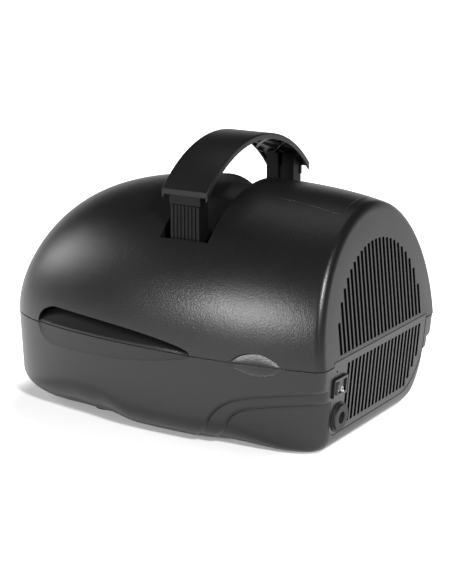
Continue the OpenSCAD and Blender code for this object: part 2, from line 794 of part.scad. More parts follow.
module motor_frame() color(METAL) {
    hub_x = brush_end_x - bearing_w - 2;
    on_axis() difference() {
        union() {
            ring_x(brush_end_x, fan_x, motor_r, frame_r);
            along_x(brush_end_x - 2, brush_end_x, frame_r);
            along_x(hub_x, brush_end_x, hub_r);
        }
        along_x(hub_x - 1, brush_end_x - 1, bearing_r + 0.02);
        along_x(hub_x - 1, brush_end_x + 1, shaft_r + 1.5);
        for (a = [45:90:315]) rotate([a, 0, 0]) {
            translate([brush_end_x - 3, 0, (hub_r + motor_r) / 2]) rotate([0, 90, 0]) cylinder(r = 10, h = 5);
            translate([core_x + core_l + 6, -14, motor_r - 4]) cube([12, 28, 12]);
            translate([commutator_x - 1, -14, motor_r - 4]) cube([18, 28, 12]);
        }
    }
}

module bearing(x0) color(STEEL) {
    on_axis() ring_x(x0, x0 + bearing_w, shaft_r + bearing_gap, bearing_r);
}

module bearing_fan_end() bearing(fan_x - bearing_w - 1);

module bearing_brush_end() bearing(brush_end_x - bearing_w - 1);

module armature_core() color(STEEL) {
    on_axis() difference() {
        along_x(core_x, core_x + core_l, armature_r);
        along_x(core_x - 1, core_x + core_l + 1, shaft_r + 0.02);
        for (a = [0:30:330]) rotate([a, 0, 0])
            translate([core_x - 1, -0.9, armature_r - 2]) cube([core_l + 2, 1.8, 4]);
    }
}

module armature_windings() color(COPPER) {
    on_axis() for (x = [core_x - winding_l, core_x + core_l])
        ring_x(x, x + winding_l, shaft_r + 2, armature_r - 4);
}

module commutator() color(COPPER) {
    on_axis() difference() {
        along_x(commutator_x, commutator_x + commutator_l, commutator_r);
        along_x(commutator_x - 1, commutator_x + commutator_l + 1, shaft_r + 0.02);
        for (a = [0:15:345]) rotate([a, 0, 0])
            translate([commutator_x - 1, -0.3, commutator_r - 0.8]) cube([commutator_l + 2, 0.6, 2]);
    }
}

module stator_core() color(STEEL) {
    on_axis() difference() {
        along_x(core_x, core_x + core_l, stator_r);
        along_x(core_x - 1, core_x + core_l + 1, armature_r + air_gap);
        for (side = [0, 180]) rotate([side, 0, 0])
            translate([core_x - 1, -16, armature_r + 4]) cube([core_l + 2, 32, 7]);
    }
}

module field_coils() color(COPPER) {
    on_axis() for (side = [0, 180]) rotate([side, 0, 0])
        translate([core_x - 8, -15.8, armature_r + 4.3]) cube([core_l + 16, 31.6, 6.4]);
}

module brush_holders() color(RUBBER) {
    on_axis() for (side = [90, 270]) rotate([side, 0, 0])
        translate([commutator_x + 2, -6, commutator_r + 1.5]) difference() {
            cube([commutator_l - 4, 12, motor_r - commutator_r - 2.2]);
            translate([2.3, 2.3, -1]) cube([commutator_l - 8.6, 7.4, motor_r - commutator_r - 6]);
        }
}

module carbon_brushes() color(STEEL) {
    on_axis() for (side = [90, 270]) rotate([side, 0, 0])
        translate([commutator_x + 4.5, -3.5, commutator_r + 0.1]) cube([commutator_l - 9, 7, 16]);
}

cradle_x = brush_end_x - bearing_w - 2;

module cradle_ring() color(RUBBER) {
    on_axis() ring_x(cradle_x, cradle_x + 6, hub_r + 0.1, hub_r + 6);
}

module motor_cradle() color(SHELL) {
    floor_z = shell_bottom + wall + 0.05;
    difference() {
        union() {
            translate([cradle_x, -hub_r - 10, floor_z]) cube([6, 2 * hub_r + 20, motor_z - floor_z]);
            translate([cradle_x - 16, -hub_r - 12, floor_z]) cube([38, 2 * hub_r + 24, 4]);
            for (y = [-hub_r - 6, hub_r + 3]) translate([cradle_x - 12, y, floor_z]) cube([30, 3, 18]);
        }
        on_axis() along_x(cradle_x - 20, cradle_x + 40, hub_r + 6.1);
    }
}

// Filter behind the intake grilles
filter_x = 117;
filter_t = 10;
filter_rim = 12;

module filter_frame() color(RUBBER) {
    slab_x(filter_x, filter_x + filter_t) difference() {
        polygon(inner_outline(filter_x + filter_t, skin_gap));
        polygon(inner_outline(filter_x + filter_t, filter_rim));
    }
}

module filter_foam() color([0.25, 0.25, 0.27]) {
    slab_x(filter_x + 1, filter_x + filter_t - 1) polygon(inner_outline(filter_x + filter_t, filter_rim + 0.3));
}

module terminal_block() color(METAL) {
    translate([72, -64, shell_bottom + wall + 0.05]) cube([34, 18, 14]);
}

module capacitor() color([0.75, 0.72, 0.3]) {
    translate([78, 44, shell_bottom + wall + 0.05]) cube([28, 20, 16]);
}

// Handle
grip_axis = grip_axis_low + handle_travel;
grip_boss_d = 8;
handle_screw_d = 3;
post_mid_y = post_y0 + post_d / 2;
post_top = grip_axis + sqrt(pow(grip_r - grip_skin, 2) - pow(post_mid_y, 2));
lip_t = 2.6;
lip_h = 8;
stop_h = 3;
post_bottom = sleeve_bottom - 0.3 - stop_h;

module grip_annulus(r0, r1, half_x) {
    translate([0, 0, grip_axis]) ring_x(handle_x - half_x, handle_x + half_x, r0, r1);
}

module grip_span(y0, y1) {
    translate([handle_x - grip_w, y0, grip_axis + 30]) cube([2 * grip_w, y1 - y0, grip_r]);
}

// Crossed ribs under the grip's skin
module grip_lattice() {
    step = grip_w - 2 * grip_rib;
    n = floor(2 * (post_y0 - 3) / step);
    intersection() {
        grip_annulus(grip_r - grip_depth + 1.5, grip_r - grip_skin + 0.2, grip_w / 2 - grip_rib + 0.2);
        for (i = [0:n - 1], lean = [-45, 45])
            translate([handle_x, (i - (n - 1) / 2) * step, grip_axis + 40]) rotate([0, 0, lean])
                translate([-grip_w, -grip_rib / 2, 0]) cube([2 * grip_w, grip_rib, grip_r]);
        grip_span(-post_y0 + 1, post_y0 - 1);
    }
}

module handle_grip() color(SHELL) {
    difference() {
        union() {
            intersection() {
                difference() {
                    grip_annulus(grip_r - grip_depth, grip_r, grip_w / 2);
                    grip_annulus(grip_r - grip_depth - 1, grip_r - grip_skin, grip_w / 2 - grip_rib);
                }
                grip_span(-grip_half_y, grip_half_y);
            }
            for (side = [-1, 1]) {
                intersection() {
                    grip_annulus(grip_r - lip_h, grip_r - grip_skin + 0.5, grip_w / 2 - 1);
                    grip_span(side > 0 ? grip_half_y - lip_t : -grip_half_y, side > 0 ? grip_half_y : lip_t - grip_half_y);
                }
                translate([handle_x, side * post_mid_y, post_top - 6]) cylinder(d = grip_boss_d, h = 6.5);
            }
            grip_lattice();
        }
        for (side = [-1, 1])
            translate([handle_x, side * post_mid_y, post_top - 7]) cylinder(d = handle_screw_d + 0.1, h = 8);
    }
}

// One post, drawn for the +Y side
module handle_post() {
    y1 = grip_half_y - 0.4;
    half = post_w / 2;
    difference() {
        intersection() {
            union() {
                translate([handle_x - half, post_y0, post_bottom]) cube([post_w, y1 - post_y0, grip_r]);
                translate([handle_x - half - 2, post_y0, post_bottom]) cube([post_w + 4, y1 - post_y0, stop_h]);
            }
            translate([0, 0, grip_axis])
                along_x(handle_x - post_w, handle_x + post_w, grip_r - grip_skin - 0.05);
        }
        // room for the grip's end lip and screw boss
        translate([handle_x - post_w, grip_half_y - lip_t - 0.1, grip_axis + sqrt(pow(grip_r - lip_h, 2) - pow(grip_half_y, 2)) - 0.2])
            cube([2 * post_w, 10, 60]);
        translate([handle_x, post_mid_y, post_top - 6.2]) cylinder(d = grip_boss_d + 0.3, h = 20);
        translate([handle_x, post_mid_y, post_top - 20]) cylinder(d = handle_screw_d + 0.3, h = 20);
        // hollow core, the groove inside and the fine flutes outside
        translate([handle_x - half + 3, post_y0 + 4, post_bottom - 1]) cube([post_w - 6, post_d - 7.2, post_top - post_bottom - 12]);
        translate([handle_x - 2, post_y0 - 1, post_bottom + stop_h]) cube([4, 4, post_top]);
        for (i = [-3:3]) translate([handle_x + i * 3.4 - 0.7, y1 - 0.9, post_bottom + stop_h]) cube([1.4, 2, post_top]);
    }
}

module handle_post_rear() color(SHELL) handle_post();

module handle_post_front() color(SHELL) mirror([0, 1, 0]) handle_post();

module handle_screws() color(METAL) {
    for (side = [-1, 1]) translate([handle_x, side * post_mid_y, 0]) {
        translate([0, 0, post_top - 15.7]) cylinder(d = 5, h = 2.5);
        translate([0, 0, post_top - 14]) cylinder(d = handle_screw_d, h = 14.5);
    }
}

upper_shell();
lower_shell();
end_panel();
handle_grip();
handle_post_front();
handle_post_rear();
handle_screws();
switch_body();
switch_rocker();
cord_bush();
feet();
shell_screws();
outlet_collar();
collar_seal();
bulkhead();
motor_gasket();
motor_cradle();
cradle_ring();
filter_frame();
filter_foam();
fan_shroud();
fan_diffuser();
impeller_outer();
impeller_inner();
impeller_spacer();
impeller_nut();
fan_end_plate();
motor_frame();
motor_shaft();
armature_core();
armature_windings();
commutator();
bearing_fan_end();
bearing_brush_end();
stator_core();
field_coils();
brush_holders();
carbon_brushes();
terminal_block();
capacitor();
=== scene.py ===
"""Looks of a car dryer blower: moulded skins, grip, marks, finishes, floor, lamps and camera."""

from __future__ import annotations

import json
import logging
import math
from dataclasses import dataclass, field
from enum import Enum
from typing import Any, Sequence

import bmesh
import bpy
import numpy as np
from mathutils import Matrix, Vector
from mathutils.bvhtree import BVHTree

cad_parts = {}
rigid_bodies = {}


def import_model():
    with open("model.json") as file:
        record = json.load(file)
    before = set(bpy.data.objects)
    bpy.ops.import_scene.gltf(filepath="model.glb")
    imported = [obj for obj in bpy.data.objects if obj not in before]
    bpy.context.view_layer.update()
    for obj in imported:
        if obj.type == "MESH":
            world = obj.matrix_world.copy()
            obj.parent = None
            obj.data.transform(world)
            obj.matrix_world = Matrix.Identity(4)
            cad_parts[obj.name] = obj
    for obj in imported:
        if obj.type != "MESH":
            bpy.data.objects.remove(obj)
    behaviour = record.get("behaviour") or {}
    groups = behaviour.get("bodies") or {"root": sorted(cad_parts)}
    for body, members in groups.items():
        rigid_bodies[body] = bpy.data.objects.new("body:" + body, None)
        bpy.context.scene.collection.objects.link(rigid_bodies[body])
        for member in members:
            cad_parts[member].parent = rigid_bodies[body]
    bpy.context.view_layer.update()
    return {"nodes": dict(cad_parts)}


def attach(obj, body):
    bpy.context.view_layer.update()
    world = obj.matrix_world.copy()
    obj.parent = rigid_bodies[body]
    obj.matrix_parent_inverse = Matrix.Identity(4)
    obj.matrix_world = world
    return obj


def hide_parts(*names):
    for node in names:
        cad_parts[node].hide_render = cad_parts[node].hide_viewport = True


LOG = logging.getLogger("blower")
MM = 0.001
Pair = tuple[float, float]
Triple = tuple[float, float, float]
Thing = bpy.types.Object
Socket = bpy.types.NodeSocket


class Cut(Enum):
    """What a cutting solid does to the piece it meets."""

    AWAY = "DIFFERENCE"
    ADD = "UNION"
    SHARED = "INTERSECT"


class Side(Enum):
    """The two long sides of the body, as the sign of Y."""

    SWITCH = -1
    FAR = 1


# --------------------------------------------------------------------------- node trees


class Wiring:
    """Adds nodes to one node tree and joins them."""

    def __init__(self, tree: bpy.types.NodeTree) -> None:
        """Keeps the tree's nodes and links."""
        self.nodes, self.links = tree.nodes, tree.links

    def feed(self, socket: Socket, value: Any) -> None:
        """Sets an input to a constant, or links it to another node.

        Args:
            socket: The input.
            value: The constant, or the other node's output.
        """
        if isinstance(value, bpy.types.NodeSocket):
            self.links.new(value, socket)
        else:
            socket.default_value = value

    def add(self, kind: str, inputs: dict[str | int, Any] | None = None, **settings: Any) -> bpy.types.Node:
        """Adds one node.

        Args:
            kind: Its type.
            inputs: A constant or another node's output for each input that is set.
            settings: Values of its properties.

        Returns:
            The node.
        """
        node = self.nodes.new(kind)
        for name, value in settings.items():
            setattr(node, name, value)
        for name, value in (inputs or {}).items():
            self.feed(node.inputs[name], value)
        return node

    def math(self, kind: str, a: Socket | float, b: Socket | float = 0.0) -> Socket:
        """Adds one math node and gives its output."""
        return self.add("ShaderNodeMath", {0: a, 1: b}, operation=kind).outputs[0]

    def ramp(self, value: Socket, span: Pair, result: Pair, shape: str = "SMOOTHSTEP") -> Socket:
        """Adds a ramp from one result to another.

        Args:
            value: What it follows.
            span: The values between which it runs.
            result: Its results at those values.
            shape: How it runs between them.

        Returns:
            Its output.
        """
        ends = {"From Min": span[0], "From Max": span[1], "To Min": result[0], "To Max": result[1]}
        node = self.add("ShaderNodeMapRange", {"Value": value, **ends}, interpolation_type=shape)
        return node.outputs["Result"]

    def toward(self, place: Socket, way: Triple) -> Socket:
        """Adds the share of a place along a direction and gives its output."""
        return self.add("ShaderNodeVectorMath", {0: place, 1: way}, operation="DOT_PRODUCT").outputs["Value"]


# --------------------------------------------------------------------------- finishes


def grey(share: float) -> Triple:
    """A neutral colour."""
    return share, share, share


@dataclass(frozen=True)
class Finish:
    """A moulded, coated or metal finish, as plain numbers that become one node material."""

    name: str
    colour: Triple
    roughness: float
    roughness_swing: float = 0.04
    grain_mm: float = 0.9
    grain_depth: float = 0.03
    metallic: float = 0.0
    specular: float = 0.5
    edge_mm: float = 0.5
    cloud: float = 0.15
    cloud_mm: float = 60.0

    def build(self) -> bpy.types.Material:
        """Makes the material.

        Returns:
            The new material, with its grain, mottling and softened edges.
        """
        material = bpy.data.materials.new(self.name)
        material.use_nodes = True
        material.diffuse_color = (*self.colour, 1.0)
        wires = Wiring(material.node_tree)
        place = wires.add("ShaderNodeTexCoord").outputs["Object"]
        clouds = wires.add("ShaderNodeTexNoise", {"Scale": 1 / (self.cloud_mm * MM), "Detail": 3.0, "Vector": place})
        fac = clouds.outputs["Fac"]
        low, high = ((*(min(c * share, 1.0) for c in self.colour), 1.0) for share in (1 - self.cloud, 1 + self.cloud))
        tint = wires.add("ShaderNodeMix", {0: fac, 6: low, 7: high}, data_type="RGBA").outputs[2]
        swing = (max(self.roughness - self.roughness_swing, 0.02), min(self.roughness + self.roughness_swing, 1.0))
        grain = wires.add("ShaderNodeTexNoise", {"Scale": 1 / (self.grain_mm * MM), "Detail": 2.0, "Roughness": 0.6,
                                                 "Vector": place}).outputs["Fac"]
        bump = wires.add("ShaderNodeBump", {"Strength": 1.0, "Distance": self.grain_depth * MM, "Height": grain})
        if self.edge_mm > 0:
            soften = wires.add("ShaderNodeBevel", {"Radius": self.edge_mm * MM}, samples=6)
            wires.feed(bump.inputs["Normal"], soften.outputs["Normal"])
        looks = {"Metallic": self.metallic, "Specular IOR Level": self.specular, "Base Color": tint,
                 "Roughness": wires.ramp(fac, (0.3, 0.7), swing, "LINEAR"), "Normal": bump.outputs["Normal"]}
        shader = material.node_tree.nodes["Principled BSDF"]
        for name, value in looks.items():
            wires.feed(shader.inputs[name], value)
        return material


@dataclass
class Finishes:
    """Every finish of the blower, built once each."""

    shell: Finish = Finish("satin_black_shell", (0.0075, 0.0076, 0.008), 0.31, 0.02, 1.15, 0.15, specular=0.45,
                           edge_mm=0.25)
    # Painted shade: a near-black, dull finish for the faces deep in the long scoops, where the lip shades them.
    hollow: Finish = Finish("scoop_shade", grey(0.003), 0.5, 0.03, 1.0, 0.03, specular=0.12, edge_mm=0.0)
    # Painted shade: a near-black, matt finish for the walls of the slots and the pilot hole, which lie in shade.
    slot: Finish = Finish("slot_shade", grey(0.0015), 0.9, 0.05, 1.0, 0.02, specular=0.05, edge_mm=0.0)
    handle: Finish = Finish("satin_black_handle", (0.007, 0.0071, 0.0075), 0.37, 0.03, 0.8, 0.03, specular=0.3,
                            edge_mm=0.6)
    post: Finish = Finish("matt_black_post", grey(0.004), 0.5, 0.04, 0.5, 0.03, specular=0.16, edge_mm=0.2)
    switch: Finish = Finish("switch_black", grey(0.008), 0.3, 0.02, 0.6, 0.01, edge_mm=0.3)
    rubber: Finish = Finish("cord_rubber", grey(0.014), 0.55, 0.05, 0.5, 0.02, specular=0.4)
    inner: Finish = Finish("inner_plastic", grey(0.012), 0.6, 0.05, 0.8, 0.03)
    foam: Finish = Finish("filter_foam", grey(0.004), 0.95, 0.03, 1.6, 0.5, specular=0.1, edge_mm=0.0)
    screw: Finish = Finish("black_steel", (0.06, 0.06, 0.065), 0.35, 0.05, 0.3, 0.01, 0.9, edge_mm=0.2)
    sheet: Finish = Finish("zinc_sheet", (0.55, 0.56, 0.58), 0.32, 0.08, 2.0, 0.02, 1.0, cloud=0.08, cloud_mm=12.0)
    cast: Finish = Finish("cast_alloy", (0.5, 0.5, 0.52), 0.45, 0.06, 0.7, 0.05, 1.0, cloud=0.06)
    steel: Finish = Finish("ground_steel", (0.45, 0.45, 0.47), 0.25, 0.05, 0.4, 0.01, 1.0, edge_mm=0.2)
    core: Finish = Finish("lacquered_core", (0.16, 0.16, 0.17), 0.4, 0.05, 0.5, 0.03, 0.8)
    copper: Finish = Finish("lacquered_copper", (0.62, 0.27, 0.12), 0.3, 0.06, 0.6, 0.05, 1.0)
    carbon: Finish = Finish("brush_carbon", grey(0.03), 0.5, 0.05, 0.4, 0.02)
    can: Finish = Finish("capacitor_can", (0.55, 0.48, 0.2), 0.35, 0.03, 1.5, 0.01)
    mark: Finish = Finish("switch_mark_white", grey(0.8), 0.5, 0.03, 0.4, 0.005, edge_mm=0.0)
    made: dict[str, bpy.types.Material] = field(default_factory=dict)

    def get(self, name: str) -> bpy.types.Material:
        """Gives a finish's material, and makes it the first time.

        Args:
            name: The field name of the finish.

        Returns:
            The material.
        """
        if name not in self.made:
            self.made[name] = getattr(self, name).build()
        return self.made[name]

    def dress(self, thing: Thing, name: str) -> None:
        """Puts one finish, by its field name, on an object."""
        thing.data.materials.clear()
        thing.data.materials.append(self.get(name))


NODE_FINISH: dict[str, str] = {
    "end_panel": "shell", "outlet_collar": "shell", "handle_grip": "handle", "handle_post_front": "post",
    "handle_post_rear": "post", "switch_body": "switch", "switch_rocker": "switch", "cord_bush": "rubber",
    "feet": "rubber", "collar_seal": "rubber", "motor_gasket": "rubber", "cradle_ring": "rubber",
    "handle_screws": "screw", "shell_screws": "screw", "bulkhead": "inner", "motor_cradle": "inner",
    "filter_frame": "inner", "brush_holders": "inner", "terminal_block": "inner", "filter_foam": "foam",
    "fan_shroud": "sheet", "fan_diffuser": "sheet", "fan_end_plate": "sheet", "impeller_outer": "cast",
    "impeller_inner": "cast", "impeller_spacer": "cast", "motor_frame": "cast", "impeller_nut": "steel",
    "motor_shaft": "steel", "bearing_fan_end": "steel", "bearing_brush_end": "steel", "armature_core": "core",
    "stator_core": "core", "armature_windings": "copper", "commutator": "copper", "field_coils": "copper",
    "carbon_brushes": "carbon", "capacitor": "can",
}


# --------------------------------------------------------------------------- mesh helpers


def make_object(name: str, points: np.ndarray, faces: Sequence[Sequence[int]]) -> Thing:
    """Makes an object at the origin.

    Args:
        name: The object's name.
        points: Its points in millimetres, as rows of X, Y and Z.
        faces: Its faces, as point numbers.

    Returns:
        The new object.
    """
    mesh = bpy.data.meshes.new(name)
    mesh.from_pydata([tuple(map(float, p)) for p in np.asarray(points) * MM], [], [list(f) for f in faces])
    mesh.validate()
    return link(bpy.data.objects.new(name, mesh))


def link(thing: Thing) -> Thing:
    """Puts an object in the scene."""
    bpy.context.scene.collection.objects.link(thing)
    return thing


def tidy_normals(thing: Thing, merge_mm: float = 0.001) -> Thing:
    """Merges doubled points and turns every face outward.

    Args:
        thing: The object to mend.
        merge_mm: Points closer than this become one.

    Returns:
        The same object.
    """
    work = bmesh.new()
    work.from_mesh(thing.data)
    bmesh.ops.remove_doubles(work, verts=work.verts, dist=merge_mm * MM)
    bmesh.ops.recalc_face_normals(work, faces=work.faces)
    work.to_mesh(thing.data)
    work.free()
    return thing


def smooth_below(thing: Thing, degrees: float) -> Thing:
    """Shades an object smooth, with sharp edges where faces meet at more than an angle.

    Args:
        thing: The object to shade.
        degrees: The angle from which an edge is sharp.

    Returns:
        The same object.
    """
    work = bmesh.new()
    work.from_mesh(thing.data)
    for face in work.faces:
        face.smooth = True
    for edge in work.edges:
        edge.smooth = len(edge.link_faces) == 2 and edge.calc_face_angle(0.0) < math.radians(degrees)
    work.to_mesh(thing.data)
    work.free()
    return thing


def move(thing: Thing, *steps: Matrix | Sequence[float]) -> Thing:
    """Moves an object's mesh.

    Args:
        thing: The object to move.
        steps: Matrices, or shifts in millimetres, one after the other.

    Returns:
        The same object.
    """
    for way in steps:
        thing.data.transform(way if isinstance(way, Matrix) else Matrix.Translation([v * MM for v in way]))
    return thing


def loft(name: str, rings: np.ndarray) -> Thing:
    """Stretches a closed skin over equal rings of points, with a flat cap at each end.

    Args:
        name: The object's name.
        rings: Points as an array of ring, point and coordinate.

    Returns:
        The closed skin.
    """
    count, size = rings.shape[:2]
    number = np.arange(count * size).reshape(count, size)
    faces = [number[0].tolist(), number[-1][::-1].tolist()]
    for low, high in zip(number[:-1], number[1:]):
        faces.extend(np.stack([low, high, np.roll(high, -1), np.roll(low, -1)], axis=1).tolist())
    return tidy_normals(make_object(name, rings.reshape(-1, 3), faces))


def box(name: str, low: Sequence[float], high: Sequence[float]) -> Thing:
    """Makes a plain box for cutting.

    Args:
        name: The object's name.
        low: Its lowest corner.
        high: Its highest corner.

    Returns:
        The box.
    """
    points = [(x, y, z) for x in (low[0], high[0]) for y in (low[1], high[1]) for z in (low[2], high[2])]
    faces = [(0, 1, 3, 2), (4, 6, 7, 5), (0, 4, 5, 1), (2, 3, 7, 6), (0, 2, 6, 4), (1, 5, 7, 3)]
    return tidy_normals(make_object(name, np.array(points), faces))


def rod(name: str, axis: int, span: Pair, radius: float, centre: Pair, sides: int = 48) -> Thing:
    """Makes a plain rod for cutting.

    Args:
        name: The object's name.
        axis: The number of the axis that it runs along.
        span: Where it starts and ends along that axis.
        radius: Its radius.
        centre: Its place on the two other axes.
        sides: How many sides it has.

    Returns:
        The rod.
    """
    turn = np.linspace(0, 2 * math.pi, sides, endpoint=False)
    flat = np.column_stack([centre[0] + radius * np.cos(turn), centre[1] + radius * np.sin(turn)])
    return loft(name, np.stack([np.insert(flat, axis, end, axis=1) for end in span]))


def bake(thing: Thing) -> Thing:
    """Turns an object's modifiers into plain mesh.

    Args:
        thing: The object to bake.

    Returns:
        The same object, with no modifiers.
    """
    graph = bpy.context.evaluated_depsgraph_get()
    graph.update()
    mesh = bpy.data.meshes.new_from_object(thing.evaluated_get(graph))
    old = thing.data
    thing.modifiers.clear()
    thing.data = mesh
    mesh.name = thing.name
    bpy.data.meshes.remove(old)
    return thing


def carve(thing: Thing, tool: Thing, how: Cut = Cut.AWAY, keep_finish: bool = False) -> Thing:
    """Cuts one solid with another and removes the tool.

    Args:
        thing: The solid to change.
        tool: The solid that cuts it or joins it.
        how: What the tool does.
        keep_finish: Whether the new faces take the tool's finish.

    Returns:
        The changed solid.
    """
    knife = thing.modifiers.new("carve", "BOOLEAN")
    knife.operation = how.value
    knife.solver = "EXACT"
    knife.material_mode = "TRANSFER" if keep_finish else "INDEX"
    knife.object = tool
    bake(thing)
    bpy.data.objects.remove(tool)
    return thing


def finish_mesh(thing: Thing, name: str, merge_mm: float, sharp: float) -> Thing:
    """Names a carved piece, mends its mesh and shades it."""
    thing.name = name
    return smooth_below(tidy_normals(thing, merge_mm), sharp)


def report(thing: Thing) -> Thing:
    """Logs a finished piece and gives it back."""
    LOG.info("%s: %d faces", thing.name, len(thing.data.polygons))
    return thing


# --------------------------------------------------------------------------- body form


def step(value: np.ndarray | float, low: float, high: float) -> np.ndarray:
    """Smooth step from 0 to 1 between two values."""
    t = np.clip((value - low) / (high - low), 0, 1)
    return t * t * (3 - 2 * t)


def smooth_curve(x: float, at: Sequence[float], height: Sequence[float]) -> float:
    """A smooth curve through a few points that never overshoots them, and 0 outside them.

    Args:
        x: Where it is wanted.
        at: Places of the points.
        height: Heights of the points.

    Returns:
        The height of the curve.
    """
    at_x, tall = np.asarray(at, float), np.asarray(height, float)
    gaps = np.diff(at_x)
    slopes = np.diff(tall) / gaps
    lean = np.zeros(len(at_x))
    flat = slopes[:-1] * slopes[1:] <= 0
    lean[1:-1] = np.where(flat, 0, 2 / (1 / np.where(flat, 1, slopes[:-1]) + 1 / np.where(flat, 1, slopes[1:])))
    lean[0], lean[-1] = 2 * slopes[0], 2 * slopes[-1]
    spot = np.clip(x, at_x[0], at_x[-1])
    i = np.clip(np.searchsorted(at_x, spot) - 1, 0, len(gaps) - 1)
    t = (spot - at_x[i]) / gaps[i]
    rest = 1 - t
    curve = tall[i] * rest**2 * (1 + 2 * t) + tall[i + 1] * t**2 * (3 - 2 * t)
    curve += gaps[i] * (lean[i] * t * rest**2 - lean[i + 1] * t**2 * rest)
    return 0.0 if x < at_x[0] or x > at_x[-1] else max(float(curve), 0.0)


@dataclass(frozen=True)
class BodyForm:
    """The rule that gives the body its plan, crown, tub and intake end, in millimetres.

    A station runs from 0 at the intake end to 1 at the hose end. X runs the other way, from the middle. "inside"
    is how far inside the outer face a surface lies.
    """

    length: float = 320.0
    width: float = 232.0
    split: float = 74.0
    rise: float = 119.6
    wall: float = 3.0
    rim: float = 6.0
    lean_up: float = 5.8
    lean_down: float = 4.9
    side_draft: float = 1.8
    tub_rim: float = 8.0
    bottom_r: float = 22.0
    soft_r: float = 32.0
    near_r: float = 5.0
    far_r: float = 44.0
    end_bottom_r: float = 13.0
    ground: float = 1.5
    foot_depth: float = 2.6
    end_depth: float = 5.8
    deepen_from: float = 60.0
    sweep_slope: float = 0.172
    sweep_foot: float = 15.0
    sweeps: tuple[Triple, Triple] = ((56.0, 63.4, 11.0), (46.0, 78.8, 6.5))
    shoulder_h: float = 3.5
    drop_h: float = 0.8
    pinch: float = 0.174
    drop: float = 0.09
    widest: float = 0.42
    nose: float = 0.9985
    socket_r: float = 23.2

    def station(self, x: float | np.ndarray) -> float | np.ndarray:
        """Station of a place along the barrel."""
        return (self.length / 2 - x) / self.length

    def plan_share(self, s: np.ndarray | float) -> np.ndarray:
        """Share of the half width at a station."""
        s = np.asarray(s, float)
        return (1 - s**2.57) ** 0.2 - self.pinch * (1 - s) ** 3.7

    def crown_share(self, s: np.ndarray | float) -> np.ndarray:
        """Share of the crown's rise at a station."""
        s = np.asarray(s, float)
        return (1 - s**4.4) ** (1 / 2.57) - self.drop * (1 - s) ** 6

    def half_width(self, s: np.ndarray | float) -> np.ndarray:
        """Half width at a station."""
        return self.width / 2 * self.plan_share(s) / self.plan_share(self.widest)

    def crown(self, s: np.ndarray | float) -> np.ndarray:
        """Rise of the barrel above the split line at a station."""
        return self.rise * self.crown_share(s) / self.crown_share(self.widest)

    def lean(self, s: float) -> float:
        """How far the barrel leans back for each millimetre of height at a station."""
        return math.tan(math.radians(self.lean_up)) * (1 - s) ** 5

    def stations(self, count: int) -> np.ndarray:
        """Stations along the barrel, closer together towards the nose."""
        u = np.linspace(0, 1, count + 1)
        return self.nose * (1 - (1 - u) ** 1.9)

    def edge_inset(self, z: np.ndarray, radius: float, inside: float) -> np.ndarray:
        """Inset of a rounded bottom edge at some heights.

        Args:
            z: Heights.
            radius: The edge's radius.
            inside: How far inside the outer face the surface lies.

        Returns:
            The insets.
        """
        down = np.maximum(self.ground + radius - z, 0)
        round_off = radius - np.sqrt(np.maximum(max(radius - inside, 0) ** 2 - down**2, 0))
        return np.where(down > 0, np.maximum(round_off, inside), inside)

    def bottom_radius(self, x: float, side: Side) -> float:
        """Radius of the bottom edge along one side: soft in one stretch, and its own at each intake corner.

        Args:
            x: Place along the barrel.
            side: Which side.

        Returns:
            The radius.
        """
        if x < -10:
            share, radius = float(step(x, -130, -70)) * (1 - float(step(x, -46, -10))), self.soft_r
        elif side is Side.SWITCH:
            share, radius = float(step(x, 68, 148)), self.near_r
        else:
            share, radius = float(step(x, 92, 148)), self.far_r
        return self.bottom_r + (radius - self.bottom_r) * share

    def lines(self, x: float) -> list[float]:
        """Heights of the two swept lines, which climb from their feet and run on straight to the intake end.

        Args:
            x: Place along the barrel.

        Returns:
            The two heights.
        """
        heights = []
        for top, foot, bend in self.sweeps:
            start = top - self.sweep_slope * (self.length / 2 - foot) - self.sweep_foot
            run = top - self.sweep_slope * (self.length / 2 - x) - start * math.exp(min(foot - x, 0) / bend)
            heights.append(self.sweep_foot - (foot - x) if x < foot else run)
        return heights

    def _shoulder(self, above: np.ndarray) -> np.ndarray:
        """Share of a step's depth near its line: a rounded shoulder, then a sharp drop.

        Args:
            above: Heights above the line.

        Returns:
            The share at each height.
        """
        share = np.clip(above / self.shoulder_h, 0, 1)
        crest = 0.5 * (1 - np.sqrt(np.maximum(1 - (1 - share) ** 2, 0)))
        return np.where(above > 0, crest, np.clip(0.5 - above / self.drop_h, 0.5, 1))

    def step_depth(self, x: float, z: np.ndarray, inside: float) -> np.ndarray:
        """How far the two swept steps draw the side in.

        Args:
            x: Place along the barrel.
            z: Heights.
            inside: How far inside the outer face the surface lies.

        Returns:
            The depth at each height.
        """
        share = min(max((x - self.deepen_from) / (self.length / 2 - self.deepen_from), 0), 1)
        depth = self.foot_depth + (self.end_depth - self.foot_depth) * share
        return depth * sum(self._shoulder(z - line - inside) for line in self.lines(x + inside))

    def tub_half(self, x: float, z: np.ndarray, inside: float, side: Side) -> np.ndarray:
        """Half width of the lower shell at a station and some heights."""
        wide = float(self.half_width(self.station(x))) - self.fall(self.side_draft, z)
        return wide - self.edge_inset(z, self.bottom_radius(x, side), inside) - self.step_depth(x, z, inside)

    def fall(self, degrees: float, z: np.ndarray) -> np.ndarray:
        """How far a wall that leans by an angle has gone at a distance from the split line."""
        return math.tan(math.radians(degrees)) * (self.split - z)

    def tub_nose(self, z: np.ndarray, inside: float) -> np.ndarray:
        """Place along X of the lower shell's nose at some heights."""
        return self.fall(self.side_draft, z) + self.edge_inset(z, self.bottom_r, inside) - self.length / 2

    def tub_end(self, z: np.ndarray, inside: float) -> np.ndarray:
        """Place along X of the lower shell's end wall at some heights."""
        return self.length / 2 - self.fall(self.lean_down, z) - self.edge_inset(z, self.end_bottom_r, inside)

    def socket_hole(self) -> Thing:
        """The hole for the hose socket's collar, as a cutting solid."""
        return rod("socket", 0, (-self.length / 2 - 2, -self.length / 2 + 12), self.socket_r, (0, self.split), 96)


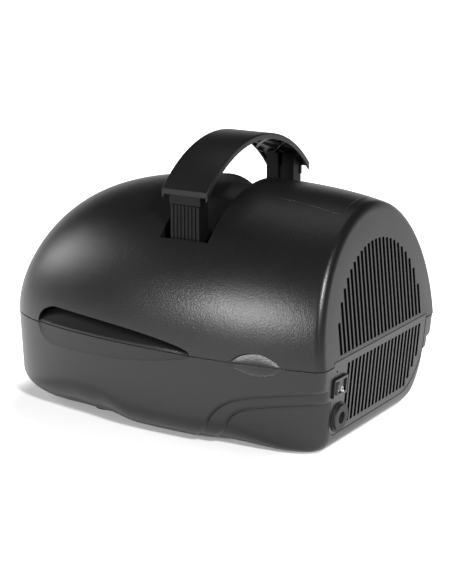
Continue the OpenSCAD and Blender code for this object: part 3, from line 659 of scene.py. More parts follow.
@dataclass(frozen=True)
class Scoop:
    """One lens-shaped scoop across the seam: its outline, its depth under the lip and the bend of its back."""

    x: tuple[float, ...]
    up: tuple[float, ...]
    down: tuple[float, ...]
    depth: float
    bend: float

    def halves(self, x: float) -> Pair:
        """Heights of its edges above and below the seam at a place along the barrel."""
        return smooth_curve(x, self.x, self.up), smooth_curve(x, self.x, self.down)


@dataclass(frozen=True)
class SideRelief:
    """What is moulded into the long sides: a long and a short scoop across the seam."""

    form: BodyForm
    dish: float = 1.6
    thinnest: float = 0.05
    lip_span: Pair = (-0.1, 1.1)
    lip: tuple[float, ...] = (0.5, 0.1, -0.3, -0.7, -1.1)
    long: Scoop = Scoop((-110, -107, -100, -88, -60, -25, 10, 35, 47, 51),
                        (0, 7.5, 13.2, 16.7, 15.9, 14.0, 10.6, 6.6, 3.2, 0),
                        (0, 8.5, 13.6, 16.2, 16.0, 14.6, 10.8, 6.2, 3.0, 0), 9.0, 1.6)
    short: Scoop = Scoop((82, 86, 92, 100, 107, 115, 122, 127, 129), (0, 1.4, 5.4, 8.2, 8.9, 7.5, 4.4, 1.8, 0),
                         (0, 3.0, 5.6, 7.6, 8.6, 8.0, 6.0, 2.6, 0), 1.9, 1.3)

    def edges(self, x: float) -> Pair:
        """Heights of the scoops' edges above and below the seam, and 0 where there is no scoop."""
        up, down = (sum(pair) for pair in zip(self.long.halves(x), self.short.halves(x)))
        return up, down

    def depth(self, x: float, z: np.ndarray) -> np.ndarray:
        """How far the side lies inside its plain form at some heights.

        Each scoop has a crisp lip, a hollow that comes out to the seam, and a shallow dish below it.

        Args:
            x: Place along the barrel.
            z: Heights.

        Returns:
            The depth at each height.
        """
        total, above = np.zeros(len(z)), z - self.form.split
        for scoop in (self.long, self.short):
            tall, low = scoop.halves(x)
            if min(tall, low) < self.thinnest:
                continue
            hollow = self.dish + scoop.depth * np.clip(above / tall, 0, 1) ** scoop.bend
            dish = self.dish * np.clip(1 + above / low, 0, 1) ** 0.8
            size = math.sqrt(min(tall / max(scoop.up), 1.0))
            total = total + size * np.where(above > 0, hollow, dish) * step(tall - above, *self.lip_span)
        return total

    def backing(self, side: Side) -> Thing:
        """The wall behind the long scoop, as a solid that is left out of the shell's hollow.

        Args:
            side: Which side.

        Returns:
            The solid.
        """
        form, past, out = self.form, 4, 30
        x = np.linspace(self.long.x[0] - past, self.long.x[-1] + past, 41)
        inner = form.half_width(form.station(x)) - self.long.depth - self.dish - form.wall
        low, high = form.split - 2, form.split + max(self.long.up) + form.wall
        rings = [[(a, side.value * b, low), (a, side.value * (b + out), low), (a, side.value * (b + out), high),
                  (a, side.value * b, high)] for a, b in zip(x, inner)]
        return loft("backing", np.array(rings))


@dataclass(frozen=True)
class GripForm:
    """Sizes that the grip, its posts and its groove share, in millimetres."""

    form: BodyForm
    width: float = 42.4
    radius: float = 114.0
    half_y: float = 82.0
    depth: float = 7.0
    skin: float = 3.0
    rib: float = 2.0
    travel: float = 36.0
    x: float = 25.0
    gap: float = 1.2
    end_gap: float = 1.6
    proud: float = 1.0
    post_w: float = 26.6
    post_d: float = 13.4
    post_gap: float = 0.4
    pocket_drop: float = 5.0
    pocket_reach: float = 2.4
    sleeve: float = 26.0
    bowl_r: float = 51.0
    bowl_drop: float = 17.0

    @property
    def groove_half_x(self) -> float:
        """Half width of the groove along the barrel."""
        return self.width / 2 + self.gap

    @property
    def groove_half_y(self) -> float:
        """Half length of the groove across the barrel."""
        return self.half_y + self.end_gap

    @property
    def top_low(self) -> float:
        """Height of the lowered grip's top."""
        return self.form.split + float(self.form.crown(self.form.station(self.x))) + self.proud

    @property
    def axis_low(self) -> float:
        """Height of the grip's centre of curvature when it is lowered."""
        return self.top_low - self.radius

    @property
    def axis(self) -> float:
        """Height of the grip's centre of curvature when it is raised."""
        return self.axis_low + self.travel

    @property
    def floor_r(self) -> float:
        """Radius of the groove's floor about the split line."""
        return self.top_low - self.form.split - self.depth - self.end_gap

    @property
    def post_y(self) -> float:
        """Distance of a post's inner face from the middle."""
        return self.half_y - self.post_d

    @property
    def pocket_floor(self) -> float:
        """Height of the pocket floors."""
        return self.axis_low + math.sqrt(self.radius**2 - self.half_y**2) - self.depth - self.pocket_drop

    @property
    def sleeve_bottom(self) -> float:
        """Height of the lower end of the post sleeves."""
        return self.pocket_floor - self.form.wall - self.sleeve


# --------------------------------------------------------------------------- shells


@dataclass
class UpperShell:
    """The domed upper shell with its handle groove, finger scoop and arched grille."""

    form: BodyForm
    grip: GripForm
    relief: SideRelief
    columns: int = 300
    inner_columns: int = 40
    seam_rows: int = 24
    row_count: int = 120
    inner_rows: int = 65
    seam_arc: Pair = (10.5, 11.5)
    row_gap: float = 0.12
    flank: Pair = (0.85, 0.93)
    sleeve_wall: float = 2.0
    name: str = "upper_skin"

    def _rows(self, s: float) -> np.ndarray:
        """Angles round the fine dome, close together near the seam, where some follow the scoops' upper edges.

        Args:
            s: Station.

        Returns:
            The angles.
        """
        form, lip = self.form, np.array(self.relief.lip)
        tall = np.maximum(self.relief.edges(form.length / 2 - s * form.length)[0] + lip,
                          self.row_gap * np.arange(1, len(lip) + 1))
        follow = np.arcsin(np.clip(tall / float(form.crown(s)), 0, 0.5))
        even = np.linspace(0, math.radians(self.seam_arc[0]), self.seam_rows, endpoint=False)
        low = np.sort(np.concatenate([even, follow]))
        middle = np.radians(np.linspace(self.seam_arc[1], 180 - self.seam_arc[1], self.row_count))
        return np.concatenate([low, middle, math.pi - low[::-1]])

    def _ring(self, s: float, inset: float, push: float, rows: np.ndarray, relief: bool) -> np.ndarray:
        """One half-round section of the barrel, leaning with the intake end.

        Args:
            s: Station.
            inset: How far it is drawn in.
            push: How far the ends are drawn in.
            rows: Angles of its points.
            relief: Whether the side relief is moulded in.

        Returns:
            Its points.
        """
        form = self.form
        wide = float(form.half_width(s)) - inset
        up = (float(form.crown(s)) - inset) * np.sin(rows)
        x = form.length / 2 - s * form.length
        y, z = -wide * np.cos(rows), form.split + up
        if relief:
            depth = self.relief.depth(x, z) * step(np.abs(y) / max(wide, 1e-6), *self.flank)
            y = y - np.sign(y) * np.minimum(depth, np.abs(y))
        return np.stack([(1 - push * 2 / form.length) * x - form.lean(s) * up, y, z], axis=1)

    def _outer(self) -> Thing:
        """Builds the fine outer dome.

        Returns:
            The dome, with its rounded rim at the intake end.
        """
        form, rings = self.form, []
        for turn in np.radians(np.linspace(0, 84, 9)):
            s, inset = form.rim * (1 - math.cos(turn)) / form.length, form.rim * (1 - math.sin(turn))
            rings.append(self._ring(s, inset, 0, self._rows(s), False))
        rings += [self._ring(s, 0, 0, self._rows(s), True) for s in form.stations(self.columns)
                  if s > form.rim / form.length]
        return loft("dome", np.stack(rings))

    def _inner(self) -> Thing:
        """Builds the plain inner dome.

        Returns:
            The dome.
        """
        rows, wall = np.linspace(0, math.pi, self.inner_rows), self.form.wall
        rings = [self._ring(s, wall, wall, rows, False) for s in self.form.stations(self.inner_columns)]
        return loft("dome", np.stack(rings))

    def _slab(self, extra: float) -> Thing:
        """The space of the groove above its round floor, or that space grown by a wall.

        Args:
            extra: How far it is grown.

        Returns:
            The space as a solid.
        """
        grip, form = self.grip, self.form
        half_y, top = grip.groove_half_y + extra, form.split + form.width
        y = np.linspace(-half_y, half_y, 97)
        low = form.split + np.sqrt(np.maximum((grip.floor_r - extra) ** 2 - y**2, 0))
        ring = np.concatenate([np.stack([y, low], axis=1), [[half_y, top], [-half_y, top]]])
        wide = grip.groove_half_x + extra
        ends = [np.column_stack([np.full(len(ring), grip.x + side * wide), ring]) for side in (-1, 1)]
        return loft("slab", np.stack(ends))

    def _upright(self, side: Side, half: float, y: Pair, z: Pair) -> Thing:
        """A box about the grip's middle on one side: a pocket or a sleeve.

        Args:
            side: Which side.
            half: Its half width along the barrel.
            y: Where it starts and ends, out from the middle.
            z: Where it starts and ends in height.

        Returns:
            The box.
        """
        low, high = sorted(side.value * end for end in y)
        return box("upright", (self.grip.x - half, low, z[0]), (self.grip.x + half, high, z[1]))

    def _pocket(self, side: Side, extra: float) -> Thing:
        """The deep end of the groove over a post, or that space grown by a wall.

        Args:
            side: Which side.
            extra: How far it is grown.

        Returns:
            The space as a solid.
        """
        grip = self.grip
        y = (grip.post_y - grip.pocket_reach - extra, grip.groove_half_y + extra)
        z = (grip.pocket_floor - extra, self.form.split + self.form.width)
        return self._upright(side, grip.groove_half_x + extra, y, z)

    def _sleeve(self, side: Side, extra: float, z: Pair) -> Thing:
        """The sleeve that guides a post, or that sleeve grown by a wall."""
        grip, grow = self.grip, self.grip.post_gap + extra
        return self._upright(side, grip.post_w / 2 + grow, (grip.post_y - grow, grip.half_y + grow), z)

    def _bowl(self, extra: float, half_x: float, top: float) -> Thing:
        """The round finger scoop in the groove's floor, as a bowl that stays within the groove.

        Args:
            extra: How far its radius is grown.
            half_x: Its half width along the barrel.
            top: Height of its flat top.

        Returns:
            The bowl as a solid.
        """
        grip = self.grip
        centre, radius, rings = self.form.split + grip.floor_r - grip.bowl_drop + grip.bowl_r, grip.bowl_r + extra, []
        for dx in np.linspace(-half_x, half_x, 33):
            reach = math.sqrt(radius**2 - dx**2)
            edge = math.sqrt(max(reach**2 - (centre - top) ** 2, 1e-6)) if top < centre else reach
            span = math.asin(min(edge / reach, 1.0))
            turn = np.linspace(-span, span, 65)
            y = np.append(reach * np.sin(turn), [edge, -edge])
            z = np.append(centre - reach * np.cos(turn), [top + 1, top + 1])
            rings.append(np.stack([np.full(len(y), grip.x + dx), y, z], axis=1))
        return loft("bowl", np.stack(rings))

    def _groove_walls(self) -> Thing:
        """Joins the walls round the groove, its pockets, its sleeves and its bowl.

        Returns:
            One solid.
        """
        grip, wall = self.grip, self.form.wall
        walls = self._slab(wall)
        for side in Side:
            carve(walls, self._pocket(side, wall), Cut.ADD)
            carve(walls, self._sleeve(side, self.sleeve_wall, (grip.sleeve_bottom, grip.pocket_floor + 0.5)), Cut.ADD)
        return carve(walls, self._bowl(wall, grip.groove_half_x + wall - 0.3, self.form.split + 112), Cut.ADD)

    def _groove_space(self) -> Thing:
        """Joins the open space of the groove, its pockets, its sleeves and its bowl.

        Returns:
            One solid.
        """
        grip = self.grip
        space = self._slab(0)
        for side in Side:
            carve(space, self._pocket(side, 0), Cut.ADD)
            carve(space, self._sleeve(side, 0, (grip.sleeve_bottom - 1, grip.pocket_floor + 1)), Cut.ADD)
        return carve(space, self._bowl(0, grip.groove_half_x - 0.02, self.form.split + 125), Cut.ADD)

    def _shade_scoops(self, shell: Thing, finish: bpy.types.Material) -> None:
        """Paints shade into the long scoops: puts the near-black finish on the outward faces deep in them, above the
        seam.

        Args:
            shell: The upper shell.
            finish: The near-black finish that paints the shade.
        """
        shell.data.materials.append(finish)
        number = len(shell.data.materials) - 1
        relief, split, long = self.relief, self.form.split, self.relief.long
        for face in shell.data.polygons:
            x, y, z = (value / MM for value in face.center)
            within = long.x[0] < x < long.x[-1] and split + 0.4 < z < split + max(long.up)
            if within and face.normal.y * math.copysign(1, y) > 0.05:
                if relief.depth(x, np.array([z]))[0] > relief.dish + 0.25:
                    face.material_index = number

    def build(self, finishes: Finishes, slots: Thing, notch: Thing) -> Thing:
        """Builds, cuts and dresses the upper shell.

        Args:
            finishes: The finishes to dress it with.
            slots: The grille's slots as one cutting solid.
            notch: The room for the end panel's top edge as a cutting solid.

        Returns:
            The finished shell.
        """
        shell = self._outer()
        finishes.dress(shell, "shell")
        hollow = move(self._inner(), (0, 0, -0.02))
        carve(hollow, self._groove_walls())
        for side in Side:
            carve(hollow, self.relief.backing(side))
        for tool in (hollow, self._groove_space(), notch, self.form.socket_hole()):
            carve(shell, tool)
        # Painted shade: the slots' walls keep the near-black finish of the cutting solid.
        carve(shell, slots, keep_finish=True)
        finish_mesh(shell, self.name, 0.004, 30)
        # Painted shade: the faces deep in the long scoops take the near-black finish.
        self._shade_scoops(shell, finishes.get("hollow"))
        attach(shell, "body")
        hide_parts("upper_shell")
        return report(shell)


@dataclass
class LowerShell:
    """The tub-shaped lower shell with its rounded bottom, swept steps, scoops and open end."""

    form: BodyForm
    relief: SideRelief
    columns: int = 300
    inner_columns: int = 48
    seam_depth: float = 0.9
    seam_height: float = 0.7
    seam_edge: float = 0.25
    marks: tuple[float, ...] = (3.5, 2.6, 1.8, 1.1, 0.5, 0.1, -0.15, -0.4)
    inner_marks: tuple[float, ...] = (3.5, 0.0, -0.4)
    feet: tuple[Pair, ...] = ((-60.0, -69.0), (-60.0, 69.0), (122.0, -69.0), (103.0, 51.0))
    foot_r: float = 12.2
    foot_seat: float = 1.2
    screw_x: Triple = (-106.0, -28.0, 98.0)
    boss_r: float = 6.0
    head_r: float = 4.1
    head_depth: float = 26.0
    shank_r: float = 2.25
    name: str = "lower_skin"

    def _levels(self, x: float, inside: float, fine: bool) -> np.ndarray:
        """Heights of one section's points, some of which follow the swept steps and the scoops' lower edges.

        Args:
            x: Place along the barrel.
            inside: How far inside the outer face the surface lies.
            fine: Whether it is for the fine outer face.

        Returns:
            The heights, from the split line down.
        """
        form = self.form
        floor = form.ground + inside
        tall = max(form.bottom_radius(x, side) for side in Side) - inside
        bottom = floor + tall * (1 - np.sin(np.linspace(0, math.pi / 2, 24 if fine else 9)))
        marks = np.array(self.marks if fine else self.inner_marks)
        steps = np.concatenate([line + inside + marks for line in form.lines(x + inside)])
        heights = [np.maximum(steps, floor + 0.01), bottom, np.linspace(form.split - 1, floor + 26, 26 if fine else 3)]
        if fine:
            seam = form.split - self.seam_height - np.array([0.0, 0.12, self.seam_edge])
            edge = form.split - self.relief.edges(x)[1] + np.array([0.9, 0.5, 0.2, -0.1])
            heights += [seam, np.minimum(edge, seam[-1] - np.array([0.15, 0.3, 0.45, 0.6]))]
        levels = -np.sort(-np.concatenate(heights))
        for i in range(len(levels) - 2, -1, -1):
            levels[i] = max(levels[i], levels[i + 1] + 0.04)
        return np.concatenate([[form.split], levels])

    def _section(self, x: float, inside: float, side: Side, corner: Pair | None, fine: bool) -> np.ndarray:
        """One section of the tub on one side, from the split line down.

        Args:
            x: Its station.
            inside: How far inside the outer face it lies.
            side: Which side.
            corner: How far it lies behind the end wall and inside the side, in the rounded upright edge.
            fine: Whether it is for the fine outer face.

        Returns:
            Its points.
        """
        form = self.form
        z = self._levels(x, inside, fine)
        groove = form.split - self.seam_height
        shade = self.seam_depth * step(z, groove - self.seam_edge, groove) * fine
        end, nose = form.tub_end(z, inside) - shade, form.tub_nose(z, inside) + shade
        place = nose + (x / form.length + 0.5) * (end - nose) if corner is None else end - corner[0]
        wide = form.tub_half(x, z, inside, side) - (corner[1] if corner else 0) - shade
        if fine:
            wide = wide - self.relief.depth(x, z)
        return np.stack([place, side.value * np.maximum(wide, 2), z], axis=1)

    def _tub(self, inside: float, fine: bool) -> Thing:
        """Builds the outer or the inner tub.

        Args:
            inside: How far inside the outer face it lies.
            fine: Whether it is for the fine outer face.

        Returns:
            The tub as a solid.
        """
        form, rim = self.form, self.form.tub_rim
        turns = np.radians(np.linspace(0, 84, 9)) if fine else []
        corners = [(rim * (1 - math.cos(a)), rim * (1 - math.sin(a))) for a in turns] or [(0.0, 0.0)]
        places = form.length / 2 - form.stations(self.columns if fine else self.inner_columns) * form.length
        places = places[places < form.length / 2 - (rim + 0.3 if fine else 4)]
        halves = []
        for side in Side:
            parts = [self._section(form.length / 2 - corner[0], inside, side, corner, fine) for corner in corners]
            parts += [self._section(float(x), inside, side, None, fine) for x in places]
            halves.append(np.stack(parts, axis=1))
        near, far = halves
        return loft("tub", np.concatenate([near, far[:, ::-1]], axis=1))

    def build(self, finishes: Finishes, window: Thing) -> Thing:
        """Builds, cuts and dresses the lower shell.

        Args:
            finishes: The finishes to dress it with.
            window: The end panel's window as a cutting solid.

        Returns:
            The finished shell.
        """
        form = self.form
        screws = [(x, side.value * (float(form.half_width(form.station(x))) - form.soft_r))
                  for x in self.screw_x for side in Side]
        shell = self._tub(0, True)
        hollow = move(self._tub(form.wall, False), (0, 0, 0.02))
        for place in screws:
            carve(hollow, rod("boss", 2, (0, form.split - 0.1), self.boss_r, place))
        for tool in (hollow, window, form.socket_hole()):
            carve(shell, tool)
        for place in self.feet:
            carve(shell, rod("seat", 2, (-1, form.ground + self.foot_seat), self.foot_r, place))
        for place in screws:
            hole = rod("hole", 2, (0, form.ground + self.head_depth), self.head_r, place)
            carve(hole, rod("shank", 2, (20, form.split + 1), self.shank_r, place), Cut.ADD)
            carve(shell, hole)
        finish_mesh(shell, self.name, 0.004, 30)
        finishes.dress(shell, "shell")
        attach(shell, "body")
        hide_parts("lower_shell")
        return report(shell)


# --------------------------------------------------------------------------- slots and end panel


@dataclass(frozen=True)
class BarRow:
    """A row of upright bars along Y, for slots and ribs, made by one node tree; sizes in millimetres."""

    pitch: float
    width: float
    count: int
    depth: float
    arch: float = 4000.0
    lift: float = 0.0
    top: float = 500.0
    climb: float = 0.0
    climb_from: float = 0.0
    middle: float = 0.0
    name: str = "bars"

    def _sizes(self, finish: bpy.types.Material) -> dict[str, Any]:
        """What the tree's named inputs are set to.

        Args:
            finish: The bars' material.

        Returns:
            A value for each name.
        """
        lengths = {"Pitch": self.pitch, "Width": self.width, "Arch Radius": self.arch, "Lift": self.lift,
                   "Depth": self.depth, "Top": self.top, "Climb From": self.climb_from, "Middle": self.middle}
        return {name: size * MM for name, size in lengths.items()} | {
            "Climb": self.climb, "Count": self.count, "Finish": finish}

    def _tree(self, names: Sequence[str]) -> bpy.types.NodeTree:
        """Builds the node tree that sets the bars on a line and stretches each up to an arch or a level top.

        Args:
            names: The names of its inputs.

        Returns:
            The tree.
        """
        tree = bpy.data.node_groups.new("bar_row", "GeometryNodeTree")
        kinds = {"Geometry": "Geometry", "Count": "Int", "Finish": "Material"}
        for name in ("Geometry", *names):
            kind = kinds.get(name, "Float")
            tree.interface.new_socket(name, in_out="INPUT", socket_type=f"NodeSocket{kind}")
        tree.interface.new_socket("Geometry", in_out="OUTPUT", socket_type="NodeSocketGeometry")
        wires = Wiring(tree)
        enter, leave = wires.add("NodeGroupInput").outputs, wires.add("NodeGroupOutput").inputs

        half = wires.math("MULTIPLY", wires.math("SUBTRACT", enter["Count"], 1.0), -0.5)
        first = wires.math("ADD", wires.math("MULTIPLY", half, enter["Pitch"]), enter["Middle"])
        start, gap = (wires.add("ShaderNodeCombineXYZ", {"Y": y}).outputs[0] for y in (first, enter["Pitch"]))
        line = wires.add("GeometryNodeMeshLine", {"Count": enter["Count"], "Start Location": start, "Offset": gap},
                         mode="OFFSET")

        where = wires.add("GeometryNodeInputPosition").outputs[0]
        y = wires.add("ShaderNodeSeparateXYZ", {0: where}).outputs["Y"]
        square = wires.math("POWER", enter["Arch Radius"], 2.0)
        across = wires.math("POWER", wires.math("ABSOLUTE", y), 2.0)
        arch = wires.math("ADD", wires.math("SQRT", wires.math("SUBTRACT", square, across)), enter["Lift"])
        past = wires.math("MAXIMUM", wires.math("SUBTRACT", y, enter["Climb From"]), 0.0)
        foot = wires.math("MULTIPLY", past, enter["Climb"])
        tall = wires.math("SUBTRACT", wires.math("MINIMUM", arch, enter["Top"]), foot)
        raised = wires.add("ShaderNodeCombineXYZ", {"Z": foot}).outputs[0]
        shift = wires.add("GeometryNodeSetPosition", {"Geometry": line.outputs["Mesh"], "Offset": raised})
        stretch = wires.add("ShaderNodeCombineXYZ", {"X": enter["Depth"], "Y": enter["Width"], "Z": tall})

        bar = wires.add("GeometryNodeMeshCube", {"Size": (1, 1, 1)}).outputs["Mesh"]
        stood = wires.add("GeometryNodeTransform", {"Geometry": bar, "Translation": (0, 0, 0.5)})
        put = wires.add("GeometryNodeInstanceOnPoints", {
            "Points": shift.outputs["Geometry"], "Instance": stood.outputs["Geometry"], "Scale": stretch.outputs[0]})
        real = wires.add("GeometryNodeRealizeInstances", {"Geometry": put.outputs["Instances"]})
        paint = wires.add("GeometryNodeSetMaterial", {"Geometry": real.outputs["Geometry"],
                                                      "Material": enter["Finish"]})
        wires.feed(leave[0], paint.outputs["Geometry"])
        return tree

    def build(self, finish: bpy.types.Material) -> Thing:
        """Makes the bars as one plain mesh.

        Args:
            finish: Their material.

        Returns:
            The bars, standing on the origin's level.
        """
        thing = make_object(self.name, np.zeros((1, 3)), [])
        sizes = self._sizes(finish)
        maker = thing.modifiers.new("bars", "NODES")
        maker.node_group = self._tree(list(sizes))
        for item in maker.node_group.interface.items_tree:
            if item.in_out == "INPUT" and item.name in sizes:
                maker[item.identifier] = sizes[item.name]
        return tidy_normals(bake(thing))


@dataclass(frozen=True)
class EndSlots:
    """The upright slots of the intake end: an arched row in the upper wall and a level row in the panel."""

    form: BodyForm
    pitch: float = 6.35
    width: float = 4.0
    arch: float = 73.0
    arch_margin: float = 1.6
    upper_foot: float = 6.0
    lift: float = 4.0
    lower_first: int = -9
    lower_last: int = 11
    lower_foot: float = 20.5
    lower_top: float = 71.0
    far_climb: float = 1.3
    far_from: float = 53.0
    through: float = 24.0

    def upper(self, finish: bpy.types.Material) -> Thing:
        """Makes the upper slots as one cutting solid.

        Args:
            finish: The near-black material of the slots' walls, which paints their shade.

        Returns:
            The cutting solid, in place in the leaning end wall.
        """
        form = self.form
        count = 2 * int((self.arch - self.arch_margin) / self.pitch) + 1
        bars = BarRow(self.pitch, self.width, count, self.through, self.arch, self.lift).build(finish)
        return move(bars, (0, 0, self.upper_foot), Matrix.Rotation(math.radians(-form.lean_up), 4, "Y"),
                    (form.length / 2, 0, form.split))

    def lower(self, finish: bpy.types.Material, place: Matrix) -> Thing:
        """Makes the panel's slots as one cutting solid.

        Args:
            finish: The near-black material of the slots' walls, which paints their shade.
            place: The panel's own axes.

        Returns:
            The cutting solid, in place in the panel.
        """
        count = self.lower_last - self.lower_first + 1
        middle = (self.lower_first + self.lower_last) / 2 * self.pitch
        bars = BarRow(self.pitch, self.width, count, self.through, top=self.lower_top - self.lower_foot,
                      climb=self.far_climb, climb_from=self.far_from, middle=middle).build(finish)
        return move(bars, (0, 0, self.lower_foot - self.form.split), place)


@dataclass(frozen=True)
class PanelForm:
    """Where the end panel lies, in millimetres."""

    form: BodyForm
    top: float = 2.5
    half_w: float = 82.0
    bottom: float = 15.5
    near_r: float = 10.0
    far_r: float = 40.0
    gap: float = 0.35
    reach: float = 12.0
    notch_reach: float = 18.0

    def place(self) -> Matrix:
        """Gives the panel's own axes.

        Returns:
            X out of its face, Y across, Z up from the split line.
        """
        form = self.form
        lean = math.radians(form.lean_down)
        shift = Matrix.Translation(((form.length / 2 - math.tan(lean) * self.top) * MM, 0, form.split * MM))
        return shift @ Matrix.Rotation(lean, 4, "Y")

    def window(self) -> Thing:
        """Makes the opening for the panel in the lower shell.

        Returns:
            The cutting solid.
        """
        low, top = -(self.form.split - self.bottom + self.gap), 2 * self.top
        half, near, far = self.half_w + self.gap, self.near_r + self.gap, self.far_r + self.gap
        a, b = np.radians(np.linspace(180, 270, 17)), np.radians(np.linspace(270, 360, 33))
        left = np.stack([-half + near + near * np.cos(a), low + near + near * np.sin(a)], axis=1)
        right = np.stack([half - far + far * np.cos(b), low + far + far * np.sin(b)], axis=1)
        edge = np.concatenate([[[half, top], [-half, top]], left, right])
        ends = [np.column_stack([np.full(len(edge), x), edge]) for x in (-self.reach, self.reach)]
        return move(loft("window", np.stack(ends)), self.place())

    def notch(self) -> Thing:
        """The room for the panel's top edge in the upper shell, as a cutting solid."""
        half, back = self.half_w + self.gap, self.notch_reach
        return move(box("notch", (-back, -half, -2 * self.top), (back, half, self.top + self.gap)), self.place())


@dataclass
class PanelSkin:
    """The end panel with its finish, and a near-black finish that paints the shade on the walls of its slots and its
    pilot hole.
    """

    panel: PanelForm
    dot: Pair = (-76.5, -5.5)
    dot_r: float = 0.9
    dot_span: Pair = (-1.2, 3.0)
    name: str = "panel_skin"

    def build(self, finishes: Finishes, node: Thing, slots: Thing) -> Thing:
        """Copies the panel's solid, cuts its slots and its small pilot hole, and dresses it.

        Args:
            finishes: The finishes to dress it with.
            node: The panel's solid.
            slots: The slots as one cutting solid.

        Returns:
            The finished panel.
        """
        mesh = node.data.copy()
        mesh.name = self.name
        thing = tidy_normals(link(bpy.data.objects.new(self.name, mesh)), 0.002)
        finishes.dress(thing, "shell")
        hole = move(rod("dot", 0, self.dot_span, self.dot_r, self.dot, 24), self.panel.place())
        # Painted shade: the pilot hole's walls take the near-black slot finish.
        finishes.dress(hole, "slot")
        for tool in (slots, hole):
            carve(thing, tool, keep_finish=True)
        finish_mesh(thing, self.name, 0.002, 30)
        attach(thing, "body")
        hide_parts("end_panel")
        return report(thing)


# --------------------------------------------------------------------------- grip, marks and raised line


@dataclass
class GripSkin:
    """The arched grip: a thin skin with rounded edges, narrow skirts and crossed ribs under it."""

    grip: GripForm
    half_x: float = 21.2
    skirt: float = 4.8
    skirt_w: float = 1.6
    edge_r: float = 1.3
    rib_pitch: float = 15.0
    rib_depth: float = 1.5
    rib_count: int = 11
    rib_turns: Pair = (-45.0, 45.0)
    rib_reach: Pair = (400.0, 60.0)
    neck_half: float = 14.2
    neck_y: Pair = (78.9, 81.7)
    neck_z: Pair = (-7.2, 1.0)
    rings: int = 96
    name: str = "grip_skin"

    def _bend(self, profile: Sequence[Pair], half_y: float, name: str) -> Thing:
        """Carries a profile along the grip's arch.

        Args:
            profile: Its points, as a place across the grip and a radius.
            half_y: Half the length that it covers.
            name: The piece's name.

        Returns:
            The arched solid.
        """
        grip = self.grip
        x, r = np.array(profile, float).T
        rings = [np.stack([grip.x + x, np.full(len(x), y), grip.axis + np.sqrt(r**2 - y**2)], axis=1)
                 for y in np.linspace(-half_y, half_y, self.rings + 1)]
        return loft(name, np.stack(rings))

    def _profile(self) -> list[Pair]:
        """The grip's section: rounded upper edges, and skirts that reach below its skin.

        Returns:
            Its points, as a place across the grip and a radius.
        """
        grip, half, turn = self.grip, self.half_x, np.linspace(0, math.pi / 2, 7)
        right = [(half - self.edge_r * (1 - math.sin(a)), grip.radius - self.edge_r * (1 - math.cos(a))) for a in turn]
        low, under = grip.radius - self.skirt, grip.radius - grip.skin
        right += [(half, low), (half - self.skirt_w, low), (half - self.skirt_w, under)]
        return right + [(-x, r) for x, r in reversed(right)]

    def build(self, finishes: Finishes) -> Thing:
        """Builds and dresses the grip.

        Args:
            finishes: The finishes to dress it with.

        Returns:
            The finished grip.
        """
        grip = self.grip
        skin = self._bend(self._profile(), grip.half_y, self.name)
        finishes.dress(skin, "handle")
        inside, under = self.half_x - self.skirt_w + 0.2, grip.radius - grip.skin
        high, low = under + 0.3, under - self.rib_depth
        long, tall = self.rib_reach
        for turn in self.rib_turns:
            ribs = self._bend([(inside, high), (inside, low), (-inside, low), (-inside, high)], grip.post_y - 1, "ribs")
            bars = BarRow(self.rib_pitch, grip.rib, self.rib_count, long, top=tall).build(finishes.get("handle"))
            move(bars, Matrix.Rotation(math.radians(turn), 4, "Z"), (grip.x, 0, grip.axis + tall))
            carve(skin, carve(ribs, bars, Cut.SHARED), Cut.ADD)
        z = grip.axis + math.sqrt(under**2 - grip.half_y**2)
        for side in Side:
            start, end = sorted(side.value * y for y in self.neck_y)
            neck = box("neck", (grip.x - self.neck_half, start, z + self.neck_z[0]),
                       (grip.x + self.neck_half, end, z + self.neck_z[1]))
            finishes.dress(neck, "post")
            carve(skin, neck, Cut.ADD, keep_finish=True)
        finish_mesh(skin, self.name, 0.002, 35)
        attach(skin, "handle")
        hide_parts("handle_grip")
        return report(skin)


